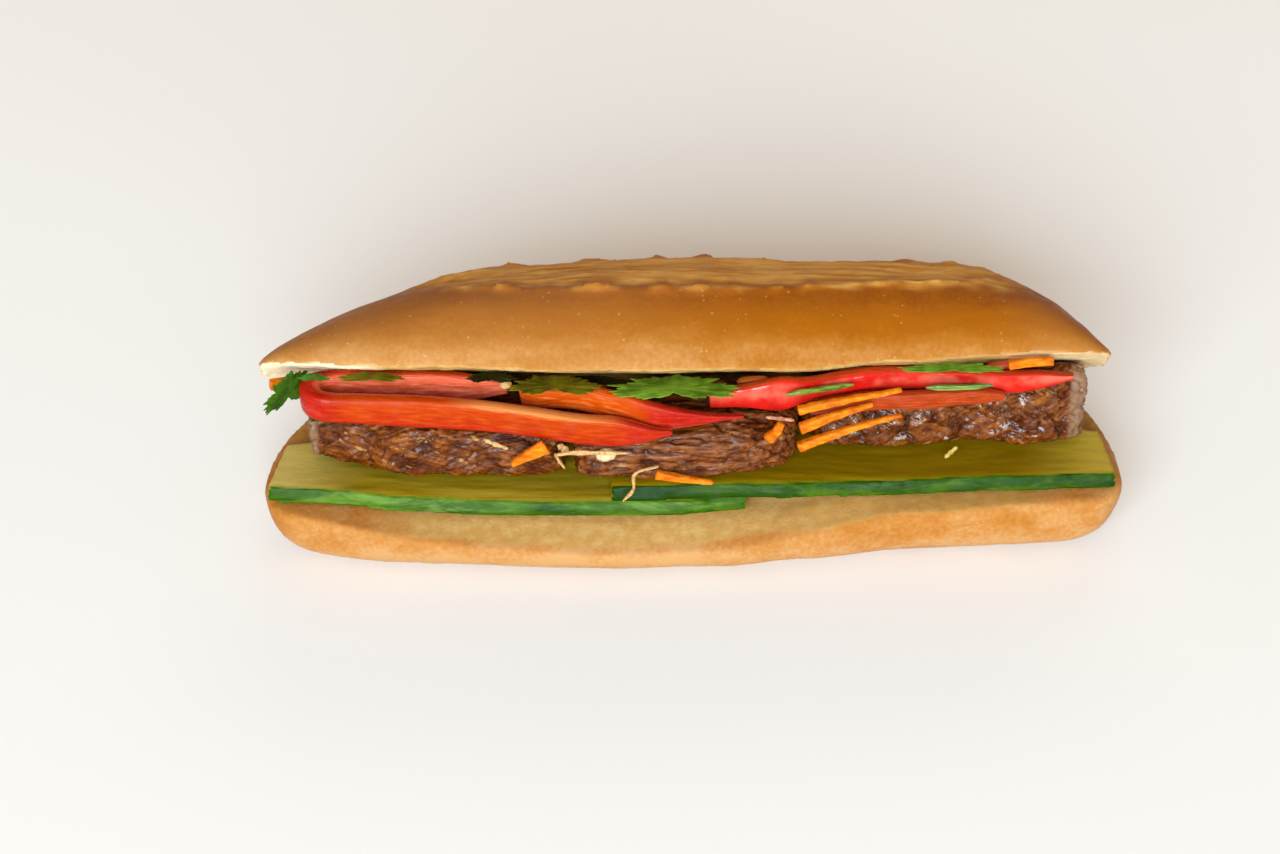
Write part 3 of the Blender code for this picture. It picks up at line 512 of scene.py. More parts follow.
def beef_material(node):
    turn, gloss, pinkness, fatness = BEEF_LOOKS[node]
    s = Shade("braised_" + node, Roughness=0.36)
    s.shader.inputs["Specular IOR Level"].default_value = 0.12
    s.link(s.span(s.noise(3.0, 3.0, 0.6), 0.45, 0.62, 0.0, gloss), "Coat Weight")
    s.shader.inputs["Coat Roughness"].default_value = 0.12
    turned = s.node("ShaderNodeMapping", {0: s.place, 2: (0.0, turn, 0.0)}).outputs[0]
    blotch = s.noise(6.0, 4.0, 0.6, distortion=0.4)
    fibres = s.noise(1.1, 4.0, 0.6, s.stretched((0.11, 1.0, 1.0), turned))
    broad = s.noise(2.6, 3.0, 0.6, s.stretched((0.14, 1.0, 1.0), turned))
    # The tone holds painted shade, darker in crevices and paler on ridges, besides the fibres and blotches.
    tone = s.math("ADD", s.math("MULTIPLY", s.stored("painted_crevice_shade"), 0.70), s.span(fibres, 0.3, 0.7, -0.20, 0.24))
    tone = s.math("ADD", tone, s.span(blotch, 0.3, 0.7, -0.12, 0.10))
    meat = s.ramp(tone, [
        (0.05, (0.040, 0.006, 0.0005)),
        (0.30, (0.105, 0.021, 0.001)),
        (0.52, (0.185, 0.045, 0.003)),
        (0.75, (0.290, 0.090, 0.012)),
        (1.0, (0.440, 0.185, 0.045)),
    ])
    pink = s.math("MULTIPLY", s.span(broad, 0.44, 0.62), pinkness)
    meat = s.mix(pink, meat, s.mix(s.span(fibres, 0.35, 0.65), (0.12, 0.030, 0.006), (0.30, 0.112, 0.048)))
    fat = s.span(s.noise(3.0, 2.0, 0.5, s.stretched((0.4, 1.0, 1.0), turned)), 0.64, 0.72)
    meat = s.mix(s.math("MULTIPLY", fat, fatness), meat, (0.60, 0.34, 0.11))
    upright = s.noise(1.6, 3.0, 0.6, s.stretched((1.0, 1.0, 0.12)))
    silver = s.mix(upright, (0.12, 0.045, 0.020), (0.36, 0.215, 0.125))
    meat = s.mix(s.math("MULTIPLY", s.stored("fascia"), 0.85), meat, silver)
    kernel = s.mix(s.noise(0.9, 3.0), (0.62, 0.40, 0.19), (0.86, 0.64, 0.38))
    s.link(s.mix(s.stored("pip"), meat, kernel), "Base Color")
    s.link(s.span(s.noise(2.0, 3.0), 0.3, 0.7, 0.26, 0.5), "Roughness")
    deep = s.bump(fibres, 0.35, 0.7)
    s.link(s.bump(s.noise(0.6, 4.0, 0.65), 0.14, 0.5, deep), "Normal")
    return s.material


# Cucumber


def make_cucumber(node, seed):
    plank = fine_copy(node, node + "_fine", PLANK_VOXEL, 2)
    where, facing = places(plank)
    skin = ease(0.26, 0.50, -facing[:, 1]) * (1.0 - ease(0.7, 0.85, np.abs(facing[:, 0])))
    relief = 0.10 * noise(where * np.array([0.10, 0.5, 0.5]), seed)
    relief += (1.0 - skin) * 0.10 * layered(where * np.array([0.05, 0.35, 0.3]), seed + 1, 2)
    relief += skin * 0.12 * noise(where * 0.45, seed + 2) - 0.06
    move_points(plank, where + facing * relief[:, None])
    store(plank, "skin", skin)
    depth = where[:, 1] - where[:, 1].min()
    # Darker flesh deeper in the plank, towards the beef: partly sauce, partly painted shade.
    store(plank, "sauce_and_painted_shade", ease(2.0, 12.0, depth))
    # The flesh pales towards the two ends: partly the thin flesh there, partly painted light.
    store(plank, "end", 0.85 * ease(92.0, 122.0, np.abs(where[:, 0])))
    shaded = ease(12.0, -8.0, where[:, 0]) if node == "cucumber_right" else 0.0 * depth
    store(plank, "shaded", shaded)
    store(plank, "rim", ease(0.05, 0.30, -facing[:, 1]) * (1.0 - skin))
    return finish_piece(plank, cucumber_material(node), "cucumber", node)


def cucumber_material(node):
    left = node == "cucumber_left"
    s = Shade("wet_" + node, Roughness=0.34)
    s.shader.inputs["Specular IOR Level"].default_value = 0.07
    lengthwise = s.stretched((0.12, 1.0, 1.0))
    bright = (0.43, 0.31, 0.024) if left else (0.34, 0.21, 0.002)
    deep = (0.27, 0.175, 0.002) if left else (0.23, 0.135, 0.001)
    flesh = s.mix(s.span(s.noise(3.5, 4.0, 0.6, lengthwise), 0.3, 0.7), deep, bright)
    # Partly sauce and partly painted shade: the flesh darkens deeper in the plank, towards the beef.
    flesh = s.mix(s.math("MULTIPLY", s.stored("sauce_and_painted_shade"), 0.6), flesh, tuple(0.6 * c for c in deep))
    # Paler ends: partly thin flesh, partly painted light.
    flesh = s.mix(s.stored("end"), flesh, (0.56, 0.42, 0.11) if left else (0.44, 0.31, 0.03))
    few = s.span(s.noise(14.0, 1.0), 0.5, 0.6)
    spots = s.math("MULTIPLY", s.span(s.dots(6.0), 0.05, 0.11, 1.0, 0.0), few)
    flesh = s.mix(s.math("MULTIPLY", spots, 0.7), flesh, (0.10, 0.040, 0.004))
    flesh = s.mix(s.math("MULTIPLY", s.stored("rim"), 0.75), flesh, (0.10, 0.13, 0.008))
    bloom = s.noise(6.0, 4.0, 0.62, s.stretched((0.30, 1.3, 1.3)), 0.5)
    dark = (0.010, 0.046, 0.0002) if left else (0.007, 0.034, 0.0001)
    middle = (0.038, 0.096, 0.001) if left else (0.017, 0.054, 0.0002)
    pale = (0.110, 0.205, 0.022) if left else (0.050, 0.115, 0.002)
    peel = s.ramp(bloom, [(0.34, dark), (0.50, middle), (0.66, pale)])
    streak = s.span(s.noise(2.2, 3.0, 0.6, s.stretched((0.16, 1.0, 1.0))), 0.56, 0.72)
    peel = s.mix(s.math("MULTIPLY", streak, 0.32 if left else 0.12), peel, (0.22, 0.34, 0.08))
    peel = s.mix(s.stored("shaded"), peel, dark)
    s.link(s.mix(s.stored("skin"), flesh, peel), "Base Color")
    s.link(s.span(s.noise(2.0, 2.0), 0.3, 0.7, 0.2, 0.36), "Roughness")
    s.link(s.bump(s.noise(1.2, 4.0, 0.6, s.stretched((0.4, 1.0, 1.0))), 0.15, 0.6), "Normal")
    return s.material


# Bands, strips and strands


def spline(points):
    """A smooth route through a few points, as a function of the share of the way along it."""
    stops = [Vector(p) + Vector(SHIFT) for p in points]
    stops = [stops[0] * 2.0 - stops[1]] + stops + [stops[-1] * 2.0 - stops[-2]]
    spans = len(stops) - 3

    def route(share):
        place = min(share * spans, spans - 1e-6)
        k = int(place)
        t = place - k
        a, b, c, d = stops[k : k + 4]
        first, second, third = c - a, 2.0 * a - 5.0 * b + 4.0 * c - d, 3.0 * b - a - 3.0 * c + d
        return 0.5 * (2.0 * b + first * t + second * t * t + third * t**3)

    return route


def sweep(name, points, half_height, half_thick, steps, turns, square=(0.55, 0.45), wander=None):
    """A closed band along a route, with the place along it and round it kept for its material."""
    route = spline(points)
    bm = bmesh.new()
    rows, along, around, shares, travelled = [], [], [], [], 0.0
    before = route(0.0)
    for i in range(steps + 1):
        share = i / steps
        here = route(share)
        travelled += (here - before).length
        before = here
        direction = (route(min(1.0, share + 0.01)) - route(max(0.0, share - 0.01))).normalized()
        side = direction.cross(Vector((0.0, 0.0, 1.0))).normalized()
        upright = side.cross(direction).normalized()
        row = []
        for j in range(turns):
            angle = math.tau * j / turns
            across = float(power(math.cos(angle), square[0])) * half_thick(share)
            up = float(power(math.sin(angle), square[1])) * half_height(share)
            if wander:
                across, up = wander(share, angle, across, up)
            row.append(bm.verts.new((here + side * across + upright * up) * MM))
            along.append(travelled)
            around.append(angle)
            shares.append(share)
        rows.append(row)
    for row, following in zip(rows, rows[1:]):
        for j in range(turns):
            k = (j + 1) % turns
            bm.faces.new((row[j], row[k], following[k], following[j]))
    for row, share in ((rows[0], 0.0), (rows[-1], 1.0)):
        hub = bm.verts.new(sum((vert.co for vert in row), Vector()) / turns)
        along.append(travelled * share)
        around.append(0.0)
        shares.append(share)
        for j in range(turns):
            bm.faces.new((row[j], row[(j + 1) % turns], hub))
    bm.normal_update()
    bmesh.ops.recalc_face_normals(bm, faces=bm.faces)
    mesh = bpy.data.meshes.new(name)
    bm.to_mesh(mesh)
    bm.free()
    mesh.shade_smooth()
    obj = link(name, mesh)
    angle = np.array(around)
    store(obj, "along", np.array(along) * MM)
    store(obj, "outward", np.cos(angle))
    store(obj, "upward", np.sin(angle))
    store(obj, "share", np.array(shares))
    return obj


def tapered(size, start, end):
    """A half size along a band that narrows over the given shares of its two ends."""

    def half(share):
        narrow = 1.0
        if share < start:
            narrow = BAND_END + (1.0 - BAND_END) * math.sin(0.5 * math.pi * share / start)
        if share > 1.0 - end:
            narrow = BAND_END + (1.0 - BAND_END) * math.sin(0.5 * math.pi * (1.0 - share) / end)
        return 0.5 * size * narrow

    return half


# Pepper


def pepper_start(name, shine):
    """The material of a strip, and a noise of the fibres that run along it."""
    s = Shade(name, Roughness=0.3)
    s.shader.inputs["Specular IOR Level"].default_value = 0.08
    s.link(s.span(s.noise(7.0, 3.0, 0.6), 0.50, 0.72, 0.0, shine), "Coat Weight")
    s.shader.inputs["Coat Roughness"].default_value = 0.1
    run = s.node("ShaderNodeCombineXYZ", {0: s.math("MULTIPLY", s.stored("along"), 0.10)})
    s.tree.links.new(s.math("MULTIPLY", s.stored("upward"), 0.006), run.inputs[1])
    s.tree.links.new(s.math("MULTIPLY", s.stored("outward"), 0.004), run.inputs[2])
    fibres = s.noise(0.55, 4.0, 0.6, run.outputs[0])
    return s, fibres


def pepper_flesh(s, fibres, dark, middle, pale):
    return s.ramp(fibres, [(0.24, dark), (0.50, middle), (0.76, pale)])


def pepper_end(s, fibres, colour):
    s.link(colour, "Base Color")
    s.link(s.span(s.noise(2.4, 2.0), 0.3, 0.7, 0.18, 0.34), "Roughness")
    s.link(s.bump(fibres, 0.18, 0.45), "Normal")
    return s.material


RED_DARK = (0.26, 0.005, 0.001)
RED = (0.36, 0.008, 0.002)
RED_PALE = (0.46, 0.032, 0.014)
ORANGE_DARK = (0.34, 0.018, 0.0005)
ORANGE = (0.40, 0.034, 0.0005)
ORANGE_PALE = (0.48, 0.070, 0.004)
# A painted highlight, pink, on the fold's lower edge and along the middle of the strips.
PAINTED_PINK_HIGHLIGHT = (0.80, 0.220, 0.130)


def ring_material():
    """Orange flesh over red skin on the front arm, skin at the bend, paler flesh on the inner face."""
    s, fibres = pepper_start("pepper_ring_flesh", 0.3)
    share, up, out = s.stored("share"), s.stored("upward"), s.stored("outward")
    ragged = s.span(fibres, 0.3, 0.7, -0.16, 0.16)
    orange = pepper_flesh(s, fibres, ORANGE_DARK, ORANGE, ORANGE_PALE)
    red = pepper_flesh(s, fibres, RED_DARK, RED, RED_PALE)
    deep = pepper_flesh(s, fibres, (0.36, 0.040, 0.010), (0.62, 0.095, 0.040), (0.82, 0.240, 0.150))
    skin = s.span(s.math("ADD", up, ragged), -0.75, 0.15, 1.0, 0.0)
    bend = s.math("MULTIPLY", s.span(share, 0.20, 0.27), s.span(share, 0.44, 0.56, 1.0, 0.0))
    front = s.mix(s.math("MAXIMUM", skin, bend), orange, red)
    tip = s.span(share, 0.84, 0.93)
    front = s.mix(s.math("MULTIPLY", tip, 0.8), front, red)
    wedge = s.math("MULTIPLY", s.span(share, 0.66, 0.72), s.span(share, 0.80, 0.92, 1.0, 0.0))
    cut = s.math("MULTIPLY", s.span(s.math("ADD", up, ragged), 0.45, 0.95), wedge)
    front = s.mix(s.math("MULTIPLY", cut, 0.75), front, (0.72, 0.26, 0.06))
    inner = s.span(s.math("ADD", out, s.span(up, -1.0, 1.0, -0.2, 0.3)), -0.1, 0.35, 1.0, 0.0)
    return pepper_end(s, fibres, s.mix(inner, front, deep))


def fold_material():
    """Orange at the left, deep red along the right, with a painted pink highlight low on the right."""
    s, fibres = pepper_start("pepper_fold_flesh", 0.5)
    share, up, out = s.stored("share"), s.stored("upward"), s.stored("outward")
    ragged = s.span(fibres, 0.3, 0.7, -0.1, 0.1)
    orange = pepper_flesh(s, fibres, (0.34, 0.022, 0.001), (0.48, 0.060, 0.002), (0.66, 0.170, 0.036))
    red = pepper_flesh(s, fibres, (0.14, 0.004, 0.001), (0.36, 0.008, 0.003), (0.56, 0.040, 0.025))
    colour = s.mix(s.span(s.math("ADD", share, ragged), 0.56, 0.74), orange, red)
    # Painted highlight: a pink band low on the fold's right part.
    edge = s.math("MULTIPLY", s.span(up, -0.95, -0.5, 1.0, 0.0), s.span(share, 0.60, 0.72))
    colour = s.mix(s.math("MULTIPLY", edge, 0.8), colour, PAINTED_PINK_HIGHLIGHT)
    inner = s.span(out, -0.35, 0.1, 1.0, 0.0)
    return pepper_end(s, fibres, s.mix(inner, colour, pepper_flesh(s, fibres, ORANGE_DARK, RED, ORANGE_PALE)))


def strip_material(name, skin_side, skin, flesh, shine):
    """skin_side is 1 where the skin faces out of the route's bend, -1 where it faces in."""
    s, fibres = pepper_start(name, shine)
    facing = s.math("MULTIPLY", s.stored("outward"), skin_side)
    covered = s.math("SUBTRACT", facing, s.math("MULTIPLY", s.stored("upward"), 0.4))
    covered = s.span(s.math("ADD", covered, s.span(fibres, 0.3, 0.7, -0.1, 0.1)), -0.05, 0.35)
    shade, lit = tuple(0.45 * c for c in flesh), tuple(min(1.0, 1.25 * c + 0.03) for c in flesh)
    inner = pepper_flesh(s, fibres, shade, flesh, lit)
    outer = s.mix(s.span(s.noise(9.0, 2.0), 0.35, 0.7), tuple(0.75 * c for c in skin), skin)
    up = s.stored("upward")
    # sheen is a painted highlight: a pink band along the middle of the skin.
    sheen = s.math("MULTIPLY", s.span(up, -0.35, 0.15), s.span(up, 0.35, 0.85, 1.0, 0.0))
    sheen = s.math("MULTIPLY", sheen, s.span(s.noise(12.0, 3.0, 0.6), 0.38, 0.60, 0.0, 0.45 * shine))
    return pepper_end(s, fibres, s.mix(covered, inner, s.mix(sheen, outer, PAINTED_PINK_HIGHLIGHT)))


# Share of the way along the ring at which it bends round its left end
RING_BEND = 0.35


def make_peppers():
    draw = random.Random(5)
    phases = [draw.uniform(0.0, math.tau) for _ in range(12)]

    def waved(index, size):
        """Small unevenness of a cut strip: its faces swell and its edges wander."""

        def wander(share, angle, across, up):
            swell = size * math.sin(9.0 * share + phases[index] + 2.0 * angle)
            edge = size * math.sin(23.0 * share + phases[index + 5])
            return across * (1.0 + 0.10 * swell), up * (1.0 + 0.05 * edge) + 0.15 * swell

        return wander

    ring_route = [
        (-53.0, -7.8, 48.8),
        (-72.0, -7.8, 49.2),
        (-88.0, -8.0, 49.7),
        (-97.0, -8.3, 50.1),
        (-103.3, -8.9, 50.4),
        (-107.0, -10.4, 50.5),
        (-108.5, -13.7, 50.6),
        (-107.0, -17.0, 50.5),
        (-103.3, -18.4, 50.3),
        (-97.0, -18.6, 50.0),
        (-88.0, -18.6, 49.4),
        (-76.0, -18.6, 48.7),
        (-60.0, -18.8, 47.4),
        (-45.0, -20.6, 46.6),
        (-32.0, -23.8, 46.8),
        (-21.5, -26.0, 47.8),
        (-13.0, -27.0, 48.0),
        (-6.0, -27.2, 48.6),
    ]

    def ring_height(share):
        return float(tapered(RING_HEIGHT, 0.06, 0.01)(share) * (1.0 - 0.8 * ease(0.86, 1.0, share)))

    def ring_thick(share):
        return float(tapered(RING_WALL, 0.05, 0.15)(share) * (1.0 + 0.4 * bell(share, RING_BEND, 0.07)))

    ring = sweep("pepper_ring_fine", ring_route, ring_height, ring_thick, 260, 28, wander=waved(0, 0.8))
    finish_piece(ring, ring_material(), "pepper", "pepper_ring")

    fold_route = [
        (-49.0, -12.2, 49.0),
        (-39.0, -13.8, 50.4),
        (-30.0, -16.8, 52.2),
        (-22.0, -20.0, 52.0),
        (-13.0, -22.8, 51.0),
        (0.0, -24.2, 51.2),
        (14.0, -24.4, 52.2),
    ]

    def fold_height(share):
        return 4.6 * float((0.72 + 0.38 * bell(share, 0.55, 0.22)) * (1.0 - 0.86 * ease(0.68, 1.0, share)))

    thick = tapered(4.0, 0.08, 0.4)
    fold = sweep("pepper_fold_fine", fold_route, fold_height, thick, 150, 26, wander=waved(1, 1.0))
    finish_piece(fold, fold_material(), "pepper", "pepper_fold")

    long_route = [
        (4.6, -14.5, 50.4),
        (14.0, -13.8, 50.8),
        (24.0, -12.6, 50.6),
        (32.0, -11.0, 50.8),
        (46.0, -7.5, 51.2),
        (60.0, -5.6, 50.6),
        (75.0, -5.4, 50.0),
        (89.0, -7.5, 50.8),
        (101.0, -9.4, 53.6),
        (108.0, -10.2, 54.8),
    ]

    def long_height(share):
        return float((3.2 + 2.2 * bell(share, 0.24, 0.1)) * (1.0 - 0.75 * ease(0.82, 1.0, share)))

    thick = tapered(3.8, 0.08, 0.2)
    long_strip = sweep("pepper_long_fine", long_route, long_height, thick, 190, 26, wander=waved(2, 1.0))
    look = strip_material("pepper_long_skin", 1.0, (0.68, 0.012, 0.006), (0.44, 0.04, 0.005), 1.0)
    finish_piece(long_strip, look, "pepper", "pepper_long")

    low_route = [
        (33.0, -15.4, 46.8),
        (42.0, -12.9, 47.0),
        (52.0, -11.6, 47.0),
        (66.0, -11.2, 47.2),
        (78.0, -10.4, 48.0),
        (89.0, -11.2, 48.6),
    ]
    height, thick = tapered(5.4, 0.12, 0.2), tapered(3.4, 0.1, 0.2)
    low = sweep("pepper_low_fine", low_route, height, thick, 100, 24, wander=waved(3, 1.0))
    look = strip_material("pepper_low_flesh", -1.0, (0.38, 0.012, 0.004), (0.34, 0.036, 0.003), 0.5)
    finish_piece(low, look, "pepper", "pepper_low")

    back_route = [(12.4, -10.2, 52.4), (17.0, -9.8, 52.8), (22.0, -9.8, 52.8)]
    height, thick = tapered(2.8, 0.2, 0.2), tapered(2.2, 0.2, 0.2)
    back = sweep("pepper_back_middle_fine", back_route, height, thick, 40, 18)
    look = strip_material("pepper_back_middle_flesh", -1.0, (0.42, 0.045, 0.008), (0.40, 0.085, 0.008), 0.4)
    finish_piece(back, look, "pepper", "pepper_back_middle")

    dark_route = [(83.0, -3.6, 52.0), (91.0, -3.2, 53.6), (98.0, -4.0, 55.0)]
    height, thick = tapered(2.8, 0.2, 0.2), tapered(2.6, 0.2, 0.2)
    dark = sweep("pepper_back_right_fine", dark_route, height, thick, 50, 18)
    look = strip_material("pepper_back_right_skin", 1.0, (0.40, 0.024, 0.008), (0.5, 0.08, 0.02), 0.5)
    finish_piece(dark, look, "pepper", "pepper_back_right")


# Carrot, green slivers and pale strands


def make_carrots():
    look = carrot_material()
    carrots = ("left_end", "wedge", "stub", "upper", "middle", "lower", "right_end", "under")
    for index, part in enumerate(carrots):
        node = "carrot_" + part
        strip = fine_copy(node, node + "_fine", CARROT_VOXEL, 2)
        where, facing = places(strip)
        relief = 0.16 * layered(where * 0.3, 60 + index, 2) + 0.03 * noise(where * 1.6, 80 + index)
        move_points(strip, where + facing * relief[:, None])
        finish_piece(strip, look, "carrot", node)


def carrot_material():
    s = Shade("carrot_flesh", Roughness=0.34)
    s.shader.inputs["Specular IOR Level"].default_value = 0.08
    fibres = s.noise(1.2, 4.0, 0.6, s.stretched((0.3, 1.0, 1.0)))
    blotch = s.noise(4.0, 2.0)
    tone = s.math("ADD", fibres, s.span(blotch, 0.3, 0.7, -0.12, 0.12))
    flesh = s.ramp(tone, [
        (0.28, (0.44, 0.075, 0.002)),
        (0.50, (0.60, 0.140, 0.003)),
        (0.70, (0.74, 0.220, 0.010)),
    ])
    s.link(flesh, "Base Color")
    s.link(s.span(s.noise(1.6, 2.0), 0.3, 0.7, 0.24, 0.45), "Roughness")
    s.link(s.bump(fibres, 0.2, 0.6), "Normal")
    return s.material


def make_slivers():
    s = Shade("spring_green", Roughness=0.3)
    s.shader.inputs["Coat Weight"].default_value = 0.2
    stripes = s.noise(0.8, 3.0, 0.6, s.stretched((0.12, 1.0, 1.0)))
    s.link(s.mix(s.span(stripes, 0.3, 0.7), (0.030, 0.080, 0.002), (0.20, 0.27, 0.03)), "Base Color")
    s.link(s.bump(stripes, 0.15, 0.5), "Normal")
    for index, node in enumerate(("green_sliver_left", "green_sliver_right")):
        sliver = fine_copy(node, node + "_fine", SLIVER_VOXEL, 2)
        where, facing = places(sliver)
        relief = 0.12 * layered(where * np.array([0.2, 0.9, 0.9]), 90 + index, 2)
        move_points(sliver, where + facing * relief[:, None])
        finish_piece(sliver, s.material, "leaf", node)


def strand_material(name, dark, pale):
    s = Shade(name, Roughness=0.4)
    s.shader.inputs["Specular IOR Level"].default_value = 0.2
    fibres = s.noise(0.8, 3.0)
    s.link(s.mix(s.span(fibres, 0.3, 0.7), dark, pale), "Base Color")
    s.link(s.span(s.noise(1.0, 2.0), 0.3, 0.7, 0.3, 0.5), "Roughness")
    s.link(s.bump(fibres, 0.1, 0.5), "Normal")
    return s.material


def make_strands():
    cream = strand_material("cream_strand", (0.36, 0.17, 0.045), (0.60, 0.37, 0.15))
    pink = strand_material("pink_strand", (0.42, 0.15, 0.075), (0.60, 0.30, 0.19))
    golden = strand_material("golden_strand", (0.34, 0.22, 0.03), (0.52, 0.38, 0.10))
    looks = {"strand_upper": pink, "strand_right": golden}
    routes = {
        "strand_left": (
            [(-59.4, -23.4, 42.6), (-56.4, -23.8, 41.2), (-52.6, -23.6, 39.4)],
            tapered(1.5, 0.4, 0.5),
        ),
        "strand_middle": (
            [(-38.8, -27.6, 40.4), (-34.0, -28.4, 41.8), (-27.0, -28.8, 42.2), (-18.0, -29.2, 42.4)],
            tapered(1.6, 0.4, 0.5),
        ),
        "strand_root": (
            [(-20.0, -30.6, 25.6), (-17.0, -29.9, 29.4), (-16.4, -29.0, 34.6), (-9.8, -28.7, 37.2)],
            tapered(1.1, 0.3, 0.4),
        ),
        "strand_gap": (
            [(-38.4, -24.4, 41.2), (-36.8, -24.4, 40.2), (-35.6, -24.4, 38.4)],
            tapered(2.2, 0.3, 0.3),
        ),
        "strand_fine": (
            [(-39.4, -21.8, 36.0), (-38.2, -22.0, 33.4), (-36.6, -22.0, 30.6)],
            tapered(1.0, 0.3, 0.3),
        ),
        "strand_upper": (
            [(20.4, -22.2, 49.8), (24.6, -21.8, 48.8), (28.4, -21.4, 48.0)],
            tapered(1.2, 0.3, 0.3),
        ),
        "strand_right": (
            [(76.4, -13.2, 31.2), (74.7, -13.8, 29.6), (73.0, -14.2, 27.9)],
            tapered(1.6, 0.3, 0.3),
        ),
    }
    for node, (route, height) in routes.items():

        def wander(share, angle, across, up):
            swell = 1.0 + 0.18 * math.sin(17.0 * share + len(node))
            return across * swell, up * swell

        strand = sweep(node + "_fine", route, height, lambda share: STRAND_HALF, 40, 12, (1.0, 1.0), wander)
        finish_piece(strand, looks.get(node, cream), "strand", node)
    seed = fine_copy("pepper_seed", "pepper_seed_fine", SEED_VOXEL, 4)
    where, facing = places(seed)
    move_points(seed, where + facing * (0.10 * layered(where * 0.7, 7, 2))[:, None])
    finish_piece(seed, cream, "strand", "pepper_seed")


# Coriander


def leaf_reach(angle, seed):
    """Reach of the leaf's outline, as it was built: three lobes with small teeth."""
    lobes = 0.74 + 0.26 * abs(math.cos(1.5 * angle)) ** 0.7
    teeth = 1.0 + 0.07 * math.cos(9.0 * angle + seed) + 0.06 * math.cos(17.0 * angle + 2.0 * seed)
    stem = 1.0 - 0.5 * math.exp(-(((abs(angle) - math.pi) / 0.45) ** 2))
    return lobes * teeth * stem


def make_leaf(node, centre, across, upward, size, curl, seed, look):
    spokes, hoops = 160, 12
    wide = Vector(across).normalized()
    face = wide.cross(Vector(upward)).normalized()
    length = face.cross(wide)
    middle = Vector(centre) + Vector(SHIFT)
    bm = bmesh.new()
    vein = []

    def point(angle, share, side):
        saw = 1.0 + 0.055 * math.sin(33.0 * angle + seed) * share**3
        reach = share * leaf_reach(angle, seed) * saw
        u, v = reach * math.sin(angle), reach * math.cos(angle)
        wave = curl * (0.5 * math.sin(3.0 * angle + seed) * share * share + u * u - v * v)
        wave += 0.12 * math.sin(11.0 * angle + 2.0 * seed) * share**2
        lobe = abs((angle / (math.tau / 3.0) + 0.5) % 1.0 - 0.5) * 2.0
        side_vein = abs((share * 5.0 + lobe * 2.2) % 1.0 - 0.5) * 2.0
        vein.append(max(math.exp(-((lobe * share / 0.05) ** 2)), 0.6 * math.exp(-((side_vein / 0.22) ** 2))))
        thin = LEAF_THICK * (0.4 + 0.6 * (1.0 - share**3))
        return middle + wide * (u * size[0]) + length * (v * size[1]) + face * (wave + side * 0.5 * thin)

    rims = []
    for side in (1.0, -1.0):
        hub = bm.verts.new(point(0.0, 0.0, side) * MM)
        rows = []
        for h in range(1, hoops + 1):
            turn = [math.tau * s / spokes - math.pi for s in range(spokes)]
            rows.append([bm.verts.new(point(angle, h / hoops, side) * MM) for angle in turn])
        for s in range(spokes):
            n = (s + 1) % spokes
            bm.faces.new((hub, rows[0][s], rows[0][n]))
            for inner, outer in zip(rows, rows[1:]):
                bm.faces.new((inner[s], outer[s], outer[n]))
                bm.faces.new((inner[s], outer[n], inner[n]))
        rims.append(rows[-1])
    for s in range(spokes):
        n = (s + 1) % spokes
        bm.faces.new((rims[0][s], rims[1][s], rims[1][n], rims[0][n]))
    bm.normal_update()
    bmesh.ops.recalc_face_normals(bm, faces=bm.faces)
    mesh = bpy.data.meshes.new(node + "_fine")
    bm.to_mesh(mesh)
    bm.free()
    mesh.shade_smooth()
    leaf = link(node + "_fine", mesh)
    store(leaf, "vein", vein)
    return finish_piece(leaf, look, "leaf", node)


def leaf_material(name, dark, light):
    s = Shade(name, Roughness=0.42)
    s.shader.inputs["Specular IOR Level"].default_value = 0.1
    blotch = s.noise(5.0, 4.0, 0.6)
    green = s.mix(s.span(blotch, 0.3, 0.7), dark, light)
    pale = tuple(min(1.0, 1.5 * c + 0.02) for c in light)
    s.link(s.mix(s.math("MULTIPLY", s.stored("vein"), 0.22), green, pale), "Base Color")
    s.link(s.span(s.noise(2.0, 2.0), 0.3, 0.7, 0.3, 0.5), "Roughness")
    ribs = s.math("SUBTRACT", s.noise(1.2, 3.0), s.math("MULTIPLY", s.stored("vein"), 0.6))
    s.link(s.bump(ribs, 0.18, 0.5), "Normal")
    return s.material


